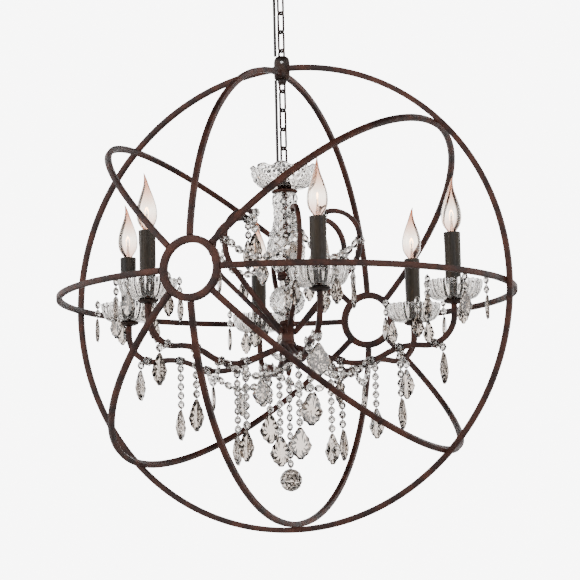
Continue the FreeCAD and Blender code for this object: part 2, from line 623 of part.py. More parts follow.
def make_column():
    wall = "Sizes.glass_wall"
    rim = f"{PLATE_TOP} + Sizes.crown_height"
    crown = cup(
        "crown",
        [
            ("Sizes.crown_radius * 0.26", PLATE_TOP),
            ("Sizes.crown_radius * 0.60", f"{PLATE_TOP} + Sizes.crown_height * 0.08"),
            ("Sizes.crown_radius * 0.90", f"{PLATE_TOP} + Sizes.crown_height * 0.36"),
            ("Sizes.crown_radius", f"{PLATE_TOP} + Sizes.crown_height * 0.70"),
            ("Sizes.crown_radius", rim),
        ],
        [
            ("Sizes.crown_radius * 0.24", f"{PLATE_TOP} + {wall}"),
            (f"Sizes.crown_radius * 0.60 - {wall}", f"{PLATE_TOP} + Sizes.crown_height * 0.08 + {wall}"),
            (f"Sizes.crown_radius * 0.90 - {wall}", f"{PLATE_TOP} + Sizes.crown_height * 0.36 + {wall}"),
            (f"Sizes.crown_radius - {wall}", f"{PLATE_TOP} + Sizes.crown_height * 0.70 + {wall}"),
            (f"Sizes.crown_radius - {wall}", f"{rim} + 0.01"),
        ],
        CUP_SIDES,
    )
    bored("crown_bowl", crown)
    plate = [
        ("Sizes.plate_radius * 0.7", VASE_TOP),
        ("Sizes.plate_radius", f"{VASE_TOP} + Sizes.plate_height * 0.4"),
        ("Sizes.plate_radius", f"{VASE_TOP} + Sizes.plate_height * 0.7"),
        ("Sizes.plate_radius * 0.8", PLATE_TOP),
    ]
    bored("crown_plate", faceted("plate", plate, 12))
    vase = [
        ("Sizes.vase_radius * 0.50", "0"),
        ("Sizes.vase_radius * 0.80", "0.08"),
        ("Sizes.vase_radius", "0.27"),
        ("Sizes.vase_radius * 0.86", "0.45"),
        ("Sizes.vase_neck", "0.64"),
        ("Sizes.vase_neck * 1.02", "0.80"),
        ("Sizes.vase_neck * 1.14", "0.95"),
        ("Sizes.vase_neck * 0.9", "1"),
    ]
    vase = [(radius, f"{COLLAR_TOP} + Sizes.vase_height * {part}") for radius, part in vase]
    bored("column_vase", faceted("vase", vase, 12))
    collar = [
        ("Sizes.collar_radius * 0.7", BALL_TOP),
        ("Sizes.collar_radius", f"{BALL_TOP} + Sizes.collar_height * 0.3"),
        ("Sizes.collar_radius", f"{BALL_TOP} + Sizes.collar_height * 0.7"),
        ("Sizes.collar_radius * 0.85", COLLAR_TOP),
    ]
    bored("column_collar", faceted("collar", collar, 12))
    ball = [
        ("Sizes.ball_radius * 0.40", "0"),
        ("Sizes.ball_radius * 0.42", "0.08"),
        ("Sizes.ball_radius * 0.82", "0.24"),
        ("Sizes.ball_radius", "0.42"),
        ("Sizes.ball_radius", "0.58"),
        ("Sizes.ball_radius * 0.82", "0.76"),
        ("Sizes.ball_radius * 0.42", "0.92"),
        ("Sizes.ball_radius * 0.40", "1"),
    ]
    ball = [(radius, f"{DISC_TOP} + Sizes.ball_height * {part}") for radius, part in ball]
    bored("column_ball", faceted("ball", ball, 12))
    disc = [
        ("Sizes.disc_radius * 0.75", HUB_TOP),
        ("Sizes.disc_radius", f"{HUB_TOP} + Sizes.disc_height * 0.5"),
        ("Sizes.disc_radius * 0.8", DISC_TOP),
    ]
    bored("column_disc", faceted("disc", disc, 12))
    hub = [
        ("Sizes.hub_radius * 0.7", HUB_FOOT),
        ("Sizes.hub_radius", f"{ARM_LEVEL} - Sizes.arm_bar / 2 - 2"),
        ("Sizes.hub_radius", f"{ARM_LEVEL} + Sizes.arm_bar / 2 + 2"),
        ("Sizes.hub_neck", f"{ARM_LEVEL} + Sizes.arm_bar / 2 + 7"),
        ("Sizes.hub_neck", HUB_TOP),
    ]
    # The facets of the hub face the arms, so that the bars seat on flats.
    bored("arm_hub", faceted("hub", hub, 12, turn=size("arm_first") - 15))
    dish = cup(
        "dish",
        [
            ("Sizes.dish_radius * 0.35", DISH_FOOT),
            ("Sizes.dish_radius * 0.75", f"{DISH_FOOT} + Sizes.dish_height * 0.35"),
            ("Sizes.dish_radius", f"{DISH_FOOT} + Sizes.dish_height"),
        ],
        [
            ("Sizes.hub_radius * 0.9", HUB_FOOT),
            (f"Sizes.dish_radius - {wall}", f"{DISH_FOOT} + Sizes.dish_height + 0.01"),
        ],
        12,
    )
    bored("bottom_dish", dish)
    finial = [
        ("Sizes.finial_radius * 0.25", FINIAL_FOOT),
        ("Sizes.finial_radius * 0.45", f"{FINIAL_FOOT} + Sizes.finial_height * 0.15"),
        ("Sizes.finial_radius * 0.80", f"{FINIAL_FOOT} + Sizes.finial_height * 0.60"),
        ("Sizes.finial_radius", f"{FINIAL_FOOT} + Sizes.finial_height * 0.80"),
        ("Sizes.finial_radius", DISH_FOOT),
    ]
    socket_foot = f"{DISH_FOOT} - Sizes.finial_height * 0.4"
    socket = prism("finial_socket", "Sizes.rod_radius + Sizes.bore_play", socket_foot, DISH_FOOT)
    node(cut(faceted("finial", finial, 12), socket, "finial"), "finial")
    rod_foot = f"{socket_foot} + Sizes.seat"
    node(cylinder("rod", "Sizes.rod_radius", rod_foot, ROD_TOP), "centre_rod")


def make_column_loop():
    """Cap nut on the rod's upper end, with the eye that hangs the chandelier on the lower chain."""
    top = f"{BOWL_FLOOR} + Sizes.nut_height"
    bore = "Sizes.rod_radius + Sizes.bore_play"
    nut = faceted(
        "column_nut",
        [
            ("Sizes.nut_radius", BOWL_FLOOR),
            ("Sizes.nut_radius", f"{BOWL_FLOOR} + Sizes.nut_height * 0.75"),
            ("Sizes.nut_radius * 0.87", top),
        ],
        12,
    )
    doc.recompute()
    root = size("eye_root")
    hook = eye(value(top) - root, size("column_eye") - size("nut_height") + root, upward=True)
    shape = nut.Shape.fuse(turned_to(hook, size("chain_turn") + 90 * (LOWER_LINKS + 1)))
    pocket = prism("column_nut_pocket", bore, f"{BOWL_FLOOR} - 1", f"{ROD_TOP} + Sizes.bore_play")
    doc.recompute()
    loop = doc.addObject("Part::Feature", "ColumnLoop")
    loop.Shape = shape.cut(pocket.Shape).removeSplitter()
    node(loop, "column_loop")


# ---- arms and scrolls -------------------------------------------------------------------------------
ARM_HEADING = -20
SAG_TURN = 48
CREST_TURN = -36
SCROLL_HEADING = 45
CURL_TURN = 110


def bar_start(seat_radius, side, heading):
    """Distance from the column at which a sloping bar's end corner just clears its facet."""
    return seat_radius + size("seat") + side / 2 * abs(math.sin(math.radians(heading)))


def arm_curve():
    """S-curve of an arm in the XZ plane, from the hub's facet out to the upright end under the candle."""
    start = (bar_start(size("hub_radius"), size("arm_bar"), ARM_HEADING), value(ARM_LEVEL))
    sag = (size("arm_sag"), SAG_TURN)
    crest = (size("arm_crest"), CREST_TURN)
    turn = (size("arm_turn"), 90 - ARM_HEADING - SAG_TURN - CREST_TURN)
    _, (bends_end, _) = arc_chain(start, ARM_HEADING, [sag, crest, turn])
    run = (size("arm_reach") - bends_end) / math.cos(math.radians(ARM_HEADING))
    steps = [(None, run), sag, crest, turn]
    _, (_, top) = arc_chain(start, ARM_HEADING, steps)
    steps.append((None, value(ARM_END) - size("seat") - top))
    return start, ARM_HEADING, steps


def scroll_curve():
    """C-scroll in the XZ plane: a rising run, an upward bend and a curl back towards the column."""
    foot = value(f"{ARM_LEVEL} + Sizes.scroll_level")
    start = (bar_start(size("hub_neck"), size("scroll_bar"), SCROLL_HEADING), foot)
    slope = math.radians(SCROLL_HEADING)
    bend_width = size("scroll_bend") * (1 - math.sin(slope))
    run = (size("scroll_reach") - bend_width - start[0]) / math.cos(slope)
    bend = (size("scroll_bend"), 90 - SCROLL_HEADING)
    curl = (size("scroll_curl"), CURL_TURN)
    return start, SCROLL_HEADING, [(None, run), bend, (None, size("scroll_belly")), curl]


def belly_height():
    """Height of the middle of a scroll's upright stretch."""
    start, heading, steps = scroll_curve()
    _, (_, top) = arc_chain(start, heading, steps[:-1])
    return top - size("scroll_belly") / 2


def underside(bar, radius, above=None):
    """Height of a bar's lower face on its own middle plane, at `radius` from the column, over `above`."""
    box = bar.BoundBox
    low = box.ZMin - 1 if above is None else above
    line = Part.makeLine(V(radius, 0, low), V(radius, 0, box.ZMax + 1))
    return bar.common(line).BoundBox.ZMin


def make_arms():
    arm = bent_bar(*arm_curve(), size("arm_bar"))
    group("arms", [round_the_column(arm, k) for k in range(ARMS)])
    scroll = bent_bar(*scroll_curve(), size("scroll_bar"))
    group("scrolls", [round_the_column(scroll, k) for k in range(ARMS)])


# ---- candles ----------------------------------------------------------------------------------------
def make_candles():
    """Metal cup, glass dish, lampholder, sleeve and bulb, drawn on the Z axis and carried to each arm."""
    washer = faceted(
        "washer",
        [
            ("Sizes.washer_radius * 0.45", ARM_END),
            ("Sizes.washer_radius", f"{ARM_END} + Sizes.washer_height * 0.6"),
            ("Sizes.washer_radius", BOBECHE_FOOT),
        ],
        8,
    )
    rim = f"{BOBECHE_FOOT} + Sizes.bobeche_height"
    wall = "Sizes.glass_wall"
    dish = cup(
        "bobeche",
        [
            ("Sizes.bobeche_radius * 0.32", BOBECHE_FOOT),
            ("Sizes.bobeche_radius * 0.84", f"{BOBECHE_FOOT} + Sizes.bobeche_height * 0.36"),
            ("Sizes.bobeche_radius", rim),
        ],
        [
            ("Sizes.bobeche_radius * 0.30", f"{BOBECHE_FOOT} + {wall}"),
            (f"Sizes.bobeche_radius * 0.84 - {wall}", f"{BOBECHE_FOOT} + Sizes.bobeche_height * 0.36 + {wall}"),
            (f"Sizes.bobeche_radius - {wall}", f"{rim} + 0.01"),
        ],
        DISH_SIDES,
    )
    stem_radius = "Sizes.holder_radius * 0.45"
    stem_bore = f"{stem_radius} + Sizes.seat"
    dish_bore = prism("bobeche_bore", stem_bore, f"{BOBECHE_FOOT} - 1", f"{SLEEVE_FOOT} + 1", 6)
    bobeche = cut(dish, dish_bore, "bobeche_bored")
    holder = faceted(
        "holder",
        [
            (stem_radius, BOBECHE_FOOT),
            (stem_radius, f"{SLEEVE_TOP} - Sizes.cap_length * 1.9"),
            ("Sizes.holder_radius", f"{SLEEVE_TOP} - Sizes.cap_length * 1.7"),
            ("Sizes.holder_radius", f"{SLEEVE_TOP} - 2"),
        ],
        6,
    )
    well_foot = f"{SLEEVE_TOP} - Sizes.cap_length - 1"
    well = prism("holder_well", "Sizes.cap_radius + Sizes.cap_play", well_foot, f"{SLEEVE_TOP} + 1", 8)
    lampholder = cut(holder, well, "lampholder")
    bore = "Sizes.sleeve_radius - Sizes.sleeve_wall"
    sleeve_out = prism("sleeve", "Sizes.sleeve_radius", SLEEVE_FOOT, SLEEVE_TOP)
    sleeve_in = prism("sleeve_in", bore, f"{SLEEVE_FOOT} - 1", f"{SLEEVE_TOP} + 1")
    sleeve = cut(sleeve_out, sleeve_in, "sleeve_tube")
    cap = faceted(
        "cap",
        [
            ("Sizes.cap_radius * 0.4", f"{SLEEVE_TOP} - Sizes.cap_length"),
            ("Sizes.cap_radius * cos(22.5deg)", f"{SLEEVE_TOP} - Sizes.cap_length + 4"),
            ("Sizes.cap_radius * cos(22.5deg)", SLEEVE_TOP),
        ],
        8,
    )
    doc.recompute()
    for name, piece in (
        ("candle_cups", washer),
        ("candle_dishes", bobeche),
        ("lampholders", lampholder),
        ("candle_sleeves", sleeve),
    ):
        group(name, [at_candle(piece.Shape, k) for k in range(ARMS)])
    glass = bulb_glass()
    for k in range(ARMS):
        group(f"bulb_{k + 1}", [at_candle(cap.Shape, k), at_candle(glass, k)])


def bulb_glass():
    """Flame-shaped glass: six-cornered rings that swell, then draw out to a tip bent to one side."""
    rings = [
        (0.40, 0.0, 0.0),
        (0.82, 0.12, 0.0),
        (1.0, 0.30, 0.0),
        (0.78, 0.52, 0.0),
        (0.34, 0.74, 0.1),
        (0.13, 0.88, 0.5),
    ]
    sides = 6
    base = value(SLEEVE_TOP)
    loops = []
    for radius, part, shift in rings:
        loop = []
        for i in range(sides):
            point = polar(size("bulb_radius") * radius, 360 / sides * i, base + size("bulb_length") * part)
            loop.append(point + V(size("tip_bend") * shift, 0, 0))
        loops.append(loop)
    tip = V(size("tip_bend"), 0, base + size("bulb_length"))
    faces = [Part.Face(Part.makePolygon(loops[0] + [loops[0][0]]))]
    for low, high in zip(loops, loops[1:]):
        for i in range(sides):
            j = (i + 1) % sides
            faces.extend([triangle(low[i], low[j], high[j]), triangle(low[i], high[j], high[i])])
    for i in range(sides):
        faces.append(triangle(loops[-1][i], loops[-1][(i + 1) % sides], tip))
    return solid_of(faces)


# ---- crystals ---------------------------------------------------------------------------------------
def triangle(a, b, c):
    return Part.Face(Part.makePolygon([a, b, c, a]))


def bead(top, radius, length, sides=4):
    """A cut bead: two pyramids base to base, its upper tip at `top`."""
    foot = top - V(0, 0, length)
    ring = [polar(radius, 360 / sides * i) + top - V(0, 0, length * 0.5) for i in range(sides)]
    faces = []
    for i in range(sides):
        j = (i + 1) % sides
        faces.extend([triangle(ring[i], ring[j], top), triangle(ring[j], ring[i], foot)])
    return solid_of(faces)


LEAF_EDGE = [(0.22, 0.22), (0.36, 0.36), (0.50, 0.62), (0.34, 0.84)]


def leaf(top, width, height, depth):
    """A scalloped pendant crystal hanging from `top`, flat across Y, with a cut face on each side."""
    right = [V(width * x, 0, -height * z) for x, z in LEAF_EDGE]
    left = [V(-p.x, 0, p.z) for p in reversed(right)]
    outline = [V()] + right + [V(0, 0, -height)] + left
    faces = []
    for side in (-1, 1):
        crown = V(0, side * depth / 2, -height * 0.58)
        for i, point in enumerate(outline):
            faces.append(triangle(point, outline[(i + 1) % len(outline)], crown))
    crystal = solid_of(faces)
    crystal.translate(top)
    return crystal


def bead_count(length):
    """How many beads, each a seat's gap under the one before, fill this length."""
    return int(length / (size("bead_length") + size("seat")))


def strand(top, beads):
    """`beads` cut beads and a large pendant, each hung a seat's gap under the one before."""
    pieces = []
    gap = size("seat")
    for _ in range(beads):
        pieces.append(bead(top, size("bead_radius"), size("bead_length")))
        top = top - V(0, 0, size("bead_length") + gap)
    pieces.append(leaf(top, size("leaf_width"), size("leaf_height"), size("leaf_depth")))
    return pieces


def facing_out(shapes, radius, index):
    """Strand pieces drawn on the Z axis, turned to face outward and carried to arm `index`."""
    placed = []
    for shape in shapes:
        copy = shape.copy()
        copy.rotate(V(), V(0, 0, 1), arm_bearing(index) + 90)
        copy.translate(polar(radius, arm_bearing(index)))
        placed.append(copy)
    return placed


def slung_bead(a, b, radius, sides=4):
    """A slender cut bead from point `a` to point `b`."""
    along = (b - a).normalize()
    across = along.cross(V(0, 0, 1)).normalize()
    other = along.cross(across)
    middle = (a + b) * 0.5
    ring = []
    for i in range(sides):
        angle = 2 * math.pi * i / sides
        ring.append(middle + across * (radius * math.cos(angle)) + other * (radius * math.sin(angle)))
    faces = []
    for i in range(sides):
        j = (i + 1) % sides
        faces.extend([triangle(ring[i], ring[j], b), triangle(ring[j], ring[i], a)])
    return solid_of(faces)


def slung_string(reach, height, bar, sag):
    """Slender beads in even steps along a parabola, between two bars of width `bar` at `reach`."""
    gap = size("seat")
    half_turn = math.radians(180 / ARMS)
    half_span = reach * math.sin(half_turn) - (bar / 2 + gap) / math.cos(half_turn)
    depth = reach * math.cos(half_turn)
    steps = 400
    curve = []
    for i in range(steps + 1):
        u = 2 * i / steps - 1
        curve.append(V(depth, half_span * u, height - sag * (1 - u * u)))
    lengths = [0.0]
    for a, b in zip(curve, curve[1:]):
        lengths.append(lengths[-1] + (b - a).Length)
    beads = max(1, round(lengths[-1] / size("garland_step")))
    ends = []
    for n in range(beads + 1):
        want = lengths[-1] * n / beads
        ends.append(curve[min(range(steps + 1), key=lambda i: abs(lengths[i] - want))])
    pieces = []
    for a, b in zip(ends, ends[1:]):
        trim = (b - a).normalize() * (gap / 2)
        pieces.append(slung_bead(a + trim, b - trim, size("garland_bead")))
    return pieces


def make_garlands():
    """Strings of beads slung from each arm to the next, and from each scroll's belly to the next."""
    reach = size("garland_reach")
    arm = bent_bar(*arm_curve(), size("arm_bar"))
    height = underside(arm, reach) + size("arm_bar") / 2
    pieces = slung_string(reach, height, size("arm_bar"), size("garland_sag"))
    pieces += slung_string(size("scroll_reach"), belly_height(), size("scroll_bar"), size("scroll_sag"))
    garlands = []
    for k in range(ARMS):
        for piece in pieces:
            copy = piece.copy()
            copy.rotate(V(), V(0, 0, 1), arm_bearing(k + 0.5))
            garlands.append(copy)
    group("garlands", garlands)


def make_crystals():
    """Strands under the arms and scroll tips, small pendants round each dish, and the bottom strand."""
    gap = size("seat")
    arm = bent_bar(*arm_curve(), size("arm_bar"))
    inner_beads = bead_count(size("inner_strand"))
    inner = strand(V(0, 0, underside(arm, size("inner_drop")) - gap), inner_beads)
    for k in range(ARMS):
        group(f"long_strand_{k + 1}", facing_out(inner, size("inner_drop"), k))
    for name, radius, beads in (
        ("middle_strands", size("middle_drop"), bead_count(size("middle_strand"))),
        ("outer_strands", size("arm_reach") - size("outer_drop"), bead_count(size("outer_strand"))),
    ):
        hung = strand(V(0, 0, underside(arm, radius) - gap), beads)
        group(name, [s for k in range(ARMS) for s in facing_out(hung, radius, k)])
    start, heading, steps = scroll_curve()
    scroll = bent_bar(start, heading, steps, size("scroll_bar"))
    _, (tip_radius, tip_height) = arc_chain(start, heading, steps)
    tip_radius += size("scroll_bar") / 4
    tip_foot = underside(scroll, tip_radius, above=tip_height - 2 * size("scroll_bar"))
    tip_drop = strand(V(0, 0, tip_foot - gap), bead_count(size("scroll_strand")))
    group("scroll_strands", [s for k in range(ARMS) for s in facing_out(tip_drop, tip_radius, k)])
    make_rim_crystals()
    make_bottom_strand()


def make_rim_crystals():
    """Small pendants on two beads each, the upper bead's girdle just outside the dish's rim."""
    gap = size("seat")
    rim_radius = size("bobeche_radius") + gap + size("rim_bead")
    rim = value(BOBECHE_FOOT) + size("bobeche_height")
    top = V(0, 0, rim - gap + size("bead_length") / 2)
    small = []
    for _ in range(RIM_BEADS):
        small.append(bead(top, size("rim_bead"), size("bead_length")))
        top = top - V(0, 0, size("bead_length") + gap)
    small.append(leaf(top, size("petal_width"), size("petal_height"), size("petal_depth")))
    petals = []
    for k in range(ARMS):
        for n in range(RIM_DROPS):
            turn = 360 / RIM_DROPS * n + 180 / DISH_SIDES
            for piece in small:
                copy = piece.copy()
                copy.rotate(V(), V(0, 0, 1), turn + 90)
                copy.translate(polar(rim_radius, turn))
                petals.append(at_candle(copy, k))
    group("rim_crystals", petals)


def make_bottom_strand():
    """Beads and a cut ball under the finial, as long as the room over the inner hoops allows."""
    gap = size("seat")
    start = V(0, 0, value(FINIAL_FOOT) - gap)
    hoops_inside = value(f"{ORB} - ({INNER_RADIUS}) + Sizes.hoop_bar / 2")
    room = start.z - hoops_inside - size("ball_room") - 2 * size("end_ball")
    pieces = []
    for _ in range(bead_count(room)):
        pieces.append(bead(start, size("bead_radius") * 0.9, size("bead_length")))
        start = start - V(0, 0, size("bead_length") + gap)
    pieces.append(cut_ball(start, size("end_ball")))
    group("bottom_strand", pieces)


def cut_ball(top, radius):
    """A faceted ball under `top`: three bands of flat cuts between two points."""
    sides = 8
    centre = top - V(0, 0, radius)
    rings = []
    for n, latitude in enumerate((52, 18, -18, -52)):
        r = radius * math.cos(math.radians(latitude))
        z = radius * math.sin(math.radians(latitude))
        rings.append([centre + polar(r, 360 / sides * i, z) for i in range(sides)])
    faces = []
    for i in range(sides):
        j = (i + 1) % sides
        faces.append(triangle(top, rings[0][i], rings[0][j]))
        for high, low in zip(rings, rings[1:]):
            faces.extend([triangle(high[i], low[i], low[j]), triangle(high[i], low[j], high[j])])
        faces.append(triangle(rings[-1][i], centre - V(0, 0, radius), rings[-1][j]))
    return solid_of(faces)


# ---- supply cable -----------------------------------------------------------------------------------
# Sideways distances from the chain's axis and heights, each a share of the stretch, chosen by hand.
UPPER_ROUTE = [(0.0, 0.0), (1.0, 0.34), (-0.8, 0.70), (0.0, 1.0)]
LOWER_ROUTE = [(0.0, 0.0), (-1.0, 0.31), (0.9, 0.67), (0.0, 1.0)]


def rounded_route(points):
    """Straight runs joined by tangent arcs, each as large as its two runs allow."""
    edges = []
    last = points[0]
    for before, corner, after in zip(points, points[1:], points[2:]):
        a = (before - corner).normalize()
        b = (after - corner).normalize()
        turn = math.pi - a.getAngle(b)
        shorter = min((before - corner).Length, (after - corner).Length)
        setback = 0.45 * shorter
        radius = setback / math.tan(turn / 2)
        print(f"cable arc radius {radius:.0f} mm")
        start = corner + a * setback
        end = corner + b * setback
        inward = (a + b).normalize()
        middle = corner + inward * (math.hypot(radius, setback) - radius)
        edges.append(Part.makeLine(last, start))
        edges.append(Part.Arc(start, middle, end).toShape())
        last = end
    edges.append(Part.makeLine(last, points[-1]))
    return Part.Wire(edges)


def make_cable(name, high, low, offset, route):
    """A supply cable beside the chain, between two cast faces, at the bearing the cable leaves on."""
    bearing = size("chain_turn") + 135
    points = []
    for sway, part in route:
        across = polar(sway * size("cable_sway"), bearing + 90)
        points.append(polar(offset, bearing) + across + V(0, 0, high + (low - high) * part))
    wire = rounded_route(points)
    tangent = (points[1] - points[0]).normalize()
    side = tangent.cross(V(0, 0, 1)).normalize()
    front = tangent.cross(side)
    corner = size("cable") / 2
    section = []
    for i in range(CABLE_SIDES + 1):
        angle = 2 * math.pi * i / CABLE_SIDES
        section.append(points[0] + side * (corner * math.cos(angle)) + front * (corner * math.sin(angle)))
    tube = wire.makePipeShell([Part.makePolygon(section)], True, False)
    ideal = Part.Face(Part.makePolygon(section)).Area * wire.Length
    print(f"{name}: length {wire.Length:.1f} mm, volume ratio {tube.Volume / ideal:.4f}")
    cable = doc.addObject("Part::Feature", name)
    cable.Shape = tube
    node(cable, name)


# ---- assembly ---------------------------------------------------------------------------------------
make_bracket()
make_canopy()
make_ceiling_loop()
for index in range(UPPER_LINKS):
    make_link(f"upper_link_{index + 1}", value(f"{CEILING_EYE} - {index} * Sizes.link_pitch"), index)
make_cage()
make_cage_boss()
for index in range(LOWER_LINKS):
    make_link(f"lower_link_{index + 1}", value(f"{CAGE_LOW_EYE} - {index} * Sizes.link_pitch"), index + 1)
make_column()
make_column_loop()
make_arms()
make_candles()
make_crystals()
make_garlands()
gap = size("seat")
make_cable(
    "supply_cable_upper",
    value(LOOP_FOOT) - gap,
    value(f"{HOOP_TOP} + Sizes.boss_above") + gap,
    size("cable_offset"),
    UPPER_ROUTE,
)
make_cable(
    "supply_cable_lower",
    value(f"{HOOP_TOP} - Sizes.boss_below") - gap,
    value(f"{BOWL_FLOOR} + Sizes.nut_height") + gap,
    size("cable_offset"),
    LOWER_ROUTE,
)
doc.recompute()

# ---- check and write --------------------------------------------------------------------------------
for obj in doc.Objects:
    if "Invalid" in obj.State or "Error" in obj.State:
        raise RuntimeError(f"{obj.Label} failed: {obj.State}")
os.makedirs("parts", exist_ok=True)
for obj in nodes:
    shape = obj.Shape
    if shape.isNull() or not shape.isValid():
        raise RuntimeError(f"{obj.Label} has no valid shape")
for obj in nodes:
    obj.Shape.exportStep(f"parts/{obj.Label}.step")
    print(f"{obj.Label}: {len(obj.Shape.Solids)} solids, {obj.Shape.Volume / 1000:.2f} cm3")
print(f"{len(nodes)} nodes, orb centre at {value(ORB):.1f} mm")
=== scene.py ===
# %% [markdown]
# # Orb chandelier
# Five iron hoops make an orb that hangs by a chain from a ceiling canopy. Inside it, on a second
# chain, hangs a small chandelier: a glass column, six arms with candle lights, and strings of cut
# crystal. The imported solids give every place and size. Here those that show get a smoother surface,
# and every one gets a finish.

import bpy
import numpy as np
from mathutils import Matrix, Vector


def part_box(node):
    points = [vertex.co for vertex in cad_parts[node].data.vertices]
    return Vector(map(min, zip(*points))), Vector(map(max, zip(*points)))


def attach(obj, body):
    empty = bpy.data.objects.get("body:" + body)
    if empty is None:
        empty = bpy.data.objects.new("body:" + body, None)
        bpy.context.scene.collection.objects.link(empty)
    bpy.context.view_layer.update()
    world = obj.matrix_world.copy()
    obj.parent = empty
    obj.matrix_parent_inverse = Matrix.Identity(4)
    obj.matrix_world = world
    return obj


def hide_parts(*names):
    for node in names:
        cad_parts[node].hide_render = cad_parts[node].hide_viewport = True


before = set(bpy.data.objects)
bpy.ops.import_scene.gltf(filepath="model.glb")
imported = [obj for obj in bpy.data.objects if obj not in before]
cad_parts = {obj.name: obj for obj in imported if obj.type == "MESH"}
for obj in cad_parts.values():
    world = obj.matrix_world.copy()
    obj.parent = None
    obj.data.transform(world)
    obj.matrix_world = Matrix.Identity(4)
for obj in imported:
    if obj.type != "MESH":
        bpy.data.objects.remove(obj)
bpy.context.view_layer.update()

# %% [markdown]
# ## Camera
# The photograph looks slightly up at the orb from its front right. The camera stands far off with a
# long lens, so the hoops keep their shape. Its place is given from the middle of the orb.

# %% Camera
ORB = Vector((0, 0, sum(corner.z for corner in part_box("hoop_outer")) / 2))


def look(turn, rise, tilt, distance):
    """Camera matrix: `turn` and `rise` round the orb and `tilt` about the line of sight, in degrees."""
    turn, rise, tilt = np.radians([turn, rise, tilt])
    back = np.array([np.sin(turn) * np.cos(rise), -np.cos(turn) * np.cos(rise), np.sin(rise)])
    right = np.cross(-back, [0, 0, 1])
    right /= np.linalg.norm(right)
    up = np.cross(right, -back)
    level = np.cos(tilt) * right + np.sin(tilt) * up
    upright = -np.sin(tilt) * right + np.cos(tilt) * up
    matrix = Matrix.Identity(4)
    for row in range(3):
        matrix[row][:3] = level[row], upright[row], back[row]
    matrix.translation = ORB + Vector(back * distance)
    return matrix


LENS, SHIFT_X, SHIFT_Y = 142.4, 0.0052, 0.0110
VIEW_TURN, VIEW_RISE, VIEW_TILT, VIEW_DISTANCE = 22.9, -7.7, -1.3, 3.943
camera_data = bpy.data.cameras.new("camera")
camera_data.lens = LENS
camera_data.shift_x = SHIFT_X
camera_data.shift_y = SHIFT_Y
camera = bpy.data.objects.new("camera", camera_data)
camera.matrix_world = look(VIEW_TURN, VIEW_RISE, VIEW_TILT, VIEW_DISTANCE)
bpy.context.scene.collection.objects.link(camera)
bpy.context.scene.camera = camera
print("camera at", [round(c, 3) for c in camera.matrix_world.translation])

# %% [markdown]
# ## Studio
# Cut glass has no look of its own: it shows the room in pieces. A plain white room makes it vanish, so
# photographers hang bright strips with dark gaps round it. Here the sky is sixteen such strips, the
# crests of a wave round the horizon, cos(16 a), that fade out well above and below it. The camera
# itself sees plain white behind the object. A wide soft lamp from the upper left and a weaker one
# from the right light the iron.


# %% Sky, lamps and floor
def soft_lamp(name, place, aim, size, power):
    """A rectangular area lamp at `place`, turned towards `aim`."""
    data = bpy.data.lights.new(name, "AREA")
    data.shape = "RECTANGLE"
    data.size, data.size_y = size
    data.energy = power
    lamp = bpy.data.objects.new(name, data)
    direction = Vector(aim) - Vector(place)
    lamp.matrix_world = Matrix.Translation(place) @ direction.to_track_quat("-Z", "Y").to_matrix().to_4x4()
    bpy.context.scene.collection.objects.link(lamp)


STRIPS, STRIP_TURN = 16, np.radians(112.9)
DARK_BELOW, LIT_ABOVE = -0.10, 0.15
LIT_TO, DARK_FROM = 0.50, 0.62
SKY_BRIGHT, SKY_DARK, SKY_PLAIN = 4.6, 0.03, 8.0
world = bpy.data.worlds.new("studio")
world.use_nodes = True
nodes, links = world.node_tree.nodes, world.node_tree.links
sky = nodes["Background"]
sky.inputs["Color"].default_value = (1.0, 0.995, 0.99, 1)


def calculate(operation, first, second=None):
    """A Math node of the sky; each input is a number or another node's output."""
    node = nodes.new("ShaderNodeMath")
    node.operation = operation
    for socket, given in zip(node.inputs, (first, second)):
        if isinstance(given, (int, float)):
            socket.default_value = given
        elif given is not None:
            links.new(given, socket)
    return node.outputs[0]


direction = nodes.new("ShaderNodeSeparateXYZ")
links.new(nodes.new("ShaderNodeTexCoord").outputs["Generated"], direction.inputs["Vector"])
bearing = calculate("ARCTAN2", direction.outputs["Y"], direction.outputs["X"])
wave = calculate("COSINE", calculate("MULTIPLY", calculate("SUBTRACT", bearing, STRIP_TURN), float(STRIPS)))
strip = nodes.new("ShaderNodeMapRange")
strip.inputs["From Min"].default_value = DARK_BELOW
strip.inputs["From Max"].default_value = LIT_ABOVE
links.new(wave, strip.inputs["Value"])
height = nodes.new("ShaderNodeMapRange")
height.inputs["From Min"].default_value = DARK_FROM
height.inputs["From Max"].default_value = LIT_TO
links.new(calculate("ABSOLUTE", direction.outputs["Z"]), height.inputs["Value"])
lit = calculate("MULTIPLY", strip.outputs["Result"], height.outputs["Result"])
room = calculate("ADD", calculate("MULTIPLY", lit, SKY_BRIGHT), SKY_DARK)
seen = nodes.new("ShaderNodeLightPath").outputs["Is Camera Ray"]
behind = calculate("MULTIPLY", seen, SKY_PLAIN)
unseen = calculate("MULTIPLY", calculate("SUBTRACT", 1.0, seen), room)
links.new(calculate("ADD", behind, unseen), sky.inputs["Strength"])
bpy.context.scene.world = world
soft_lamp("lamp_left", (-2.2, -2.4, 0.9), ORB, (1.6, 2.2), 50)
soft_lamp("lamp_right", (2.8, -1.6, -0.2), ORB, (1.2, 2.0), 22)

FLOOR, FLOOR_HALF = -2.4, 8.0
floor_mesh = bpy.data.meshes.new("floor")
floor_corners = [(x * FLOOR_HALF, y * FLOOR_HALF, FLOOR) for x, y in ((-1, -1), (1, -1), (1, 1), (-1, 1))]
floor_mesh.from_pydata(floor_corners, [], [(0, 1, 2, 3)])
floor = bpy.data.objects.new("floor", floor_mesh)
bpy.context.scene.collection.objects.link(floor)
print(STRIPS, "strips of sky, floor at", FLOOR)

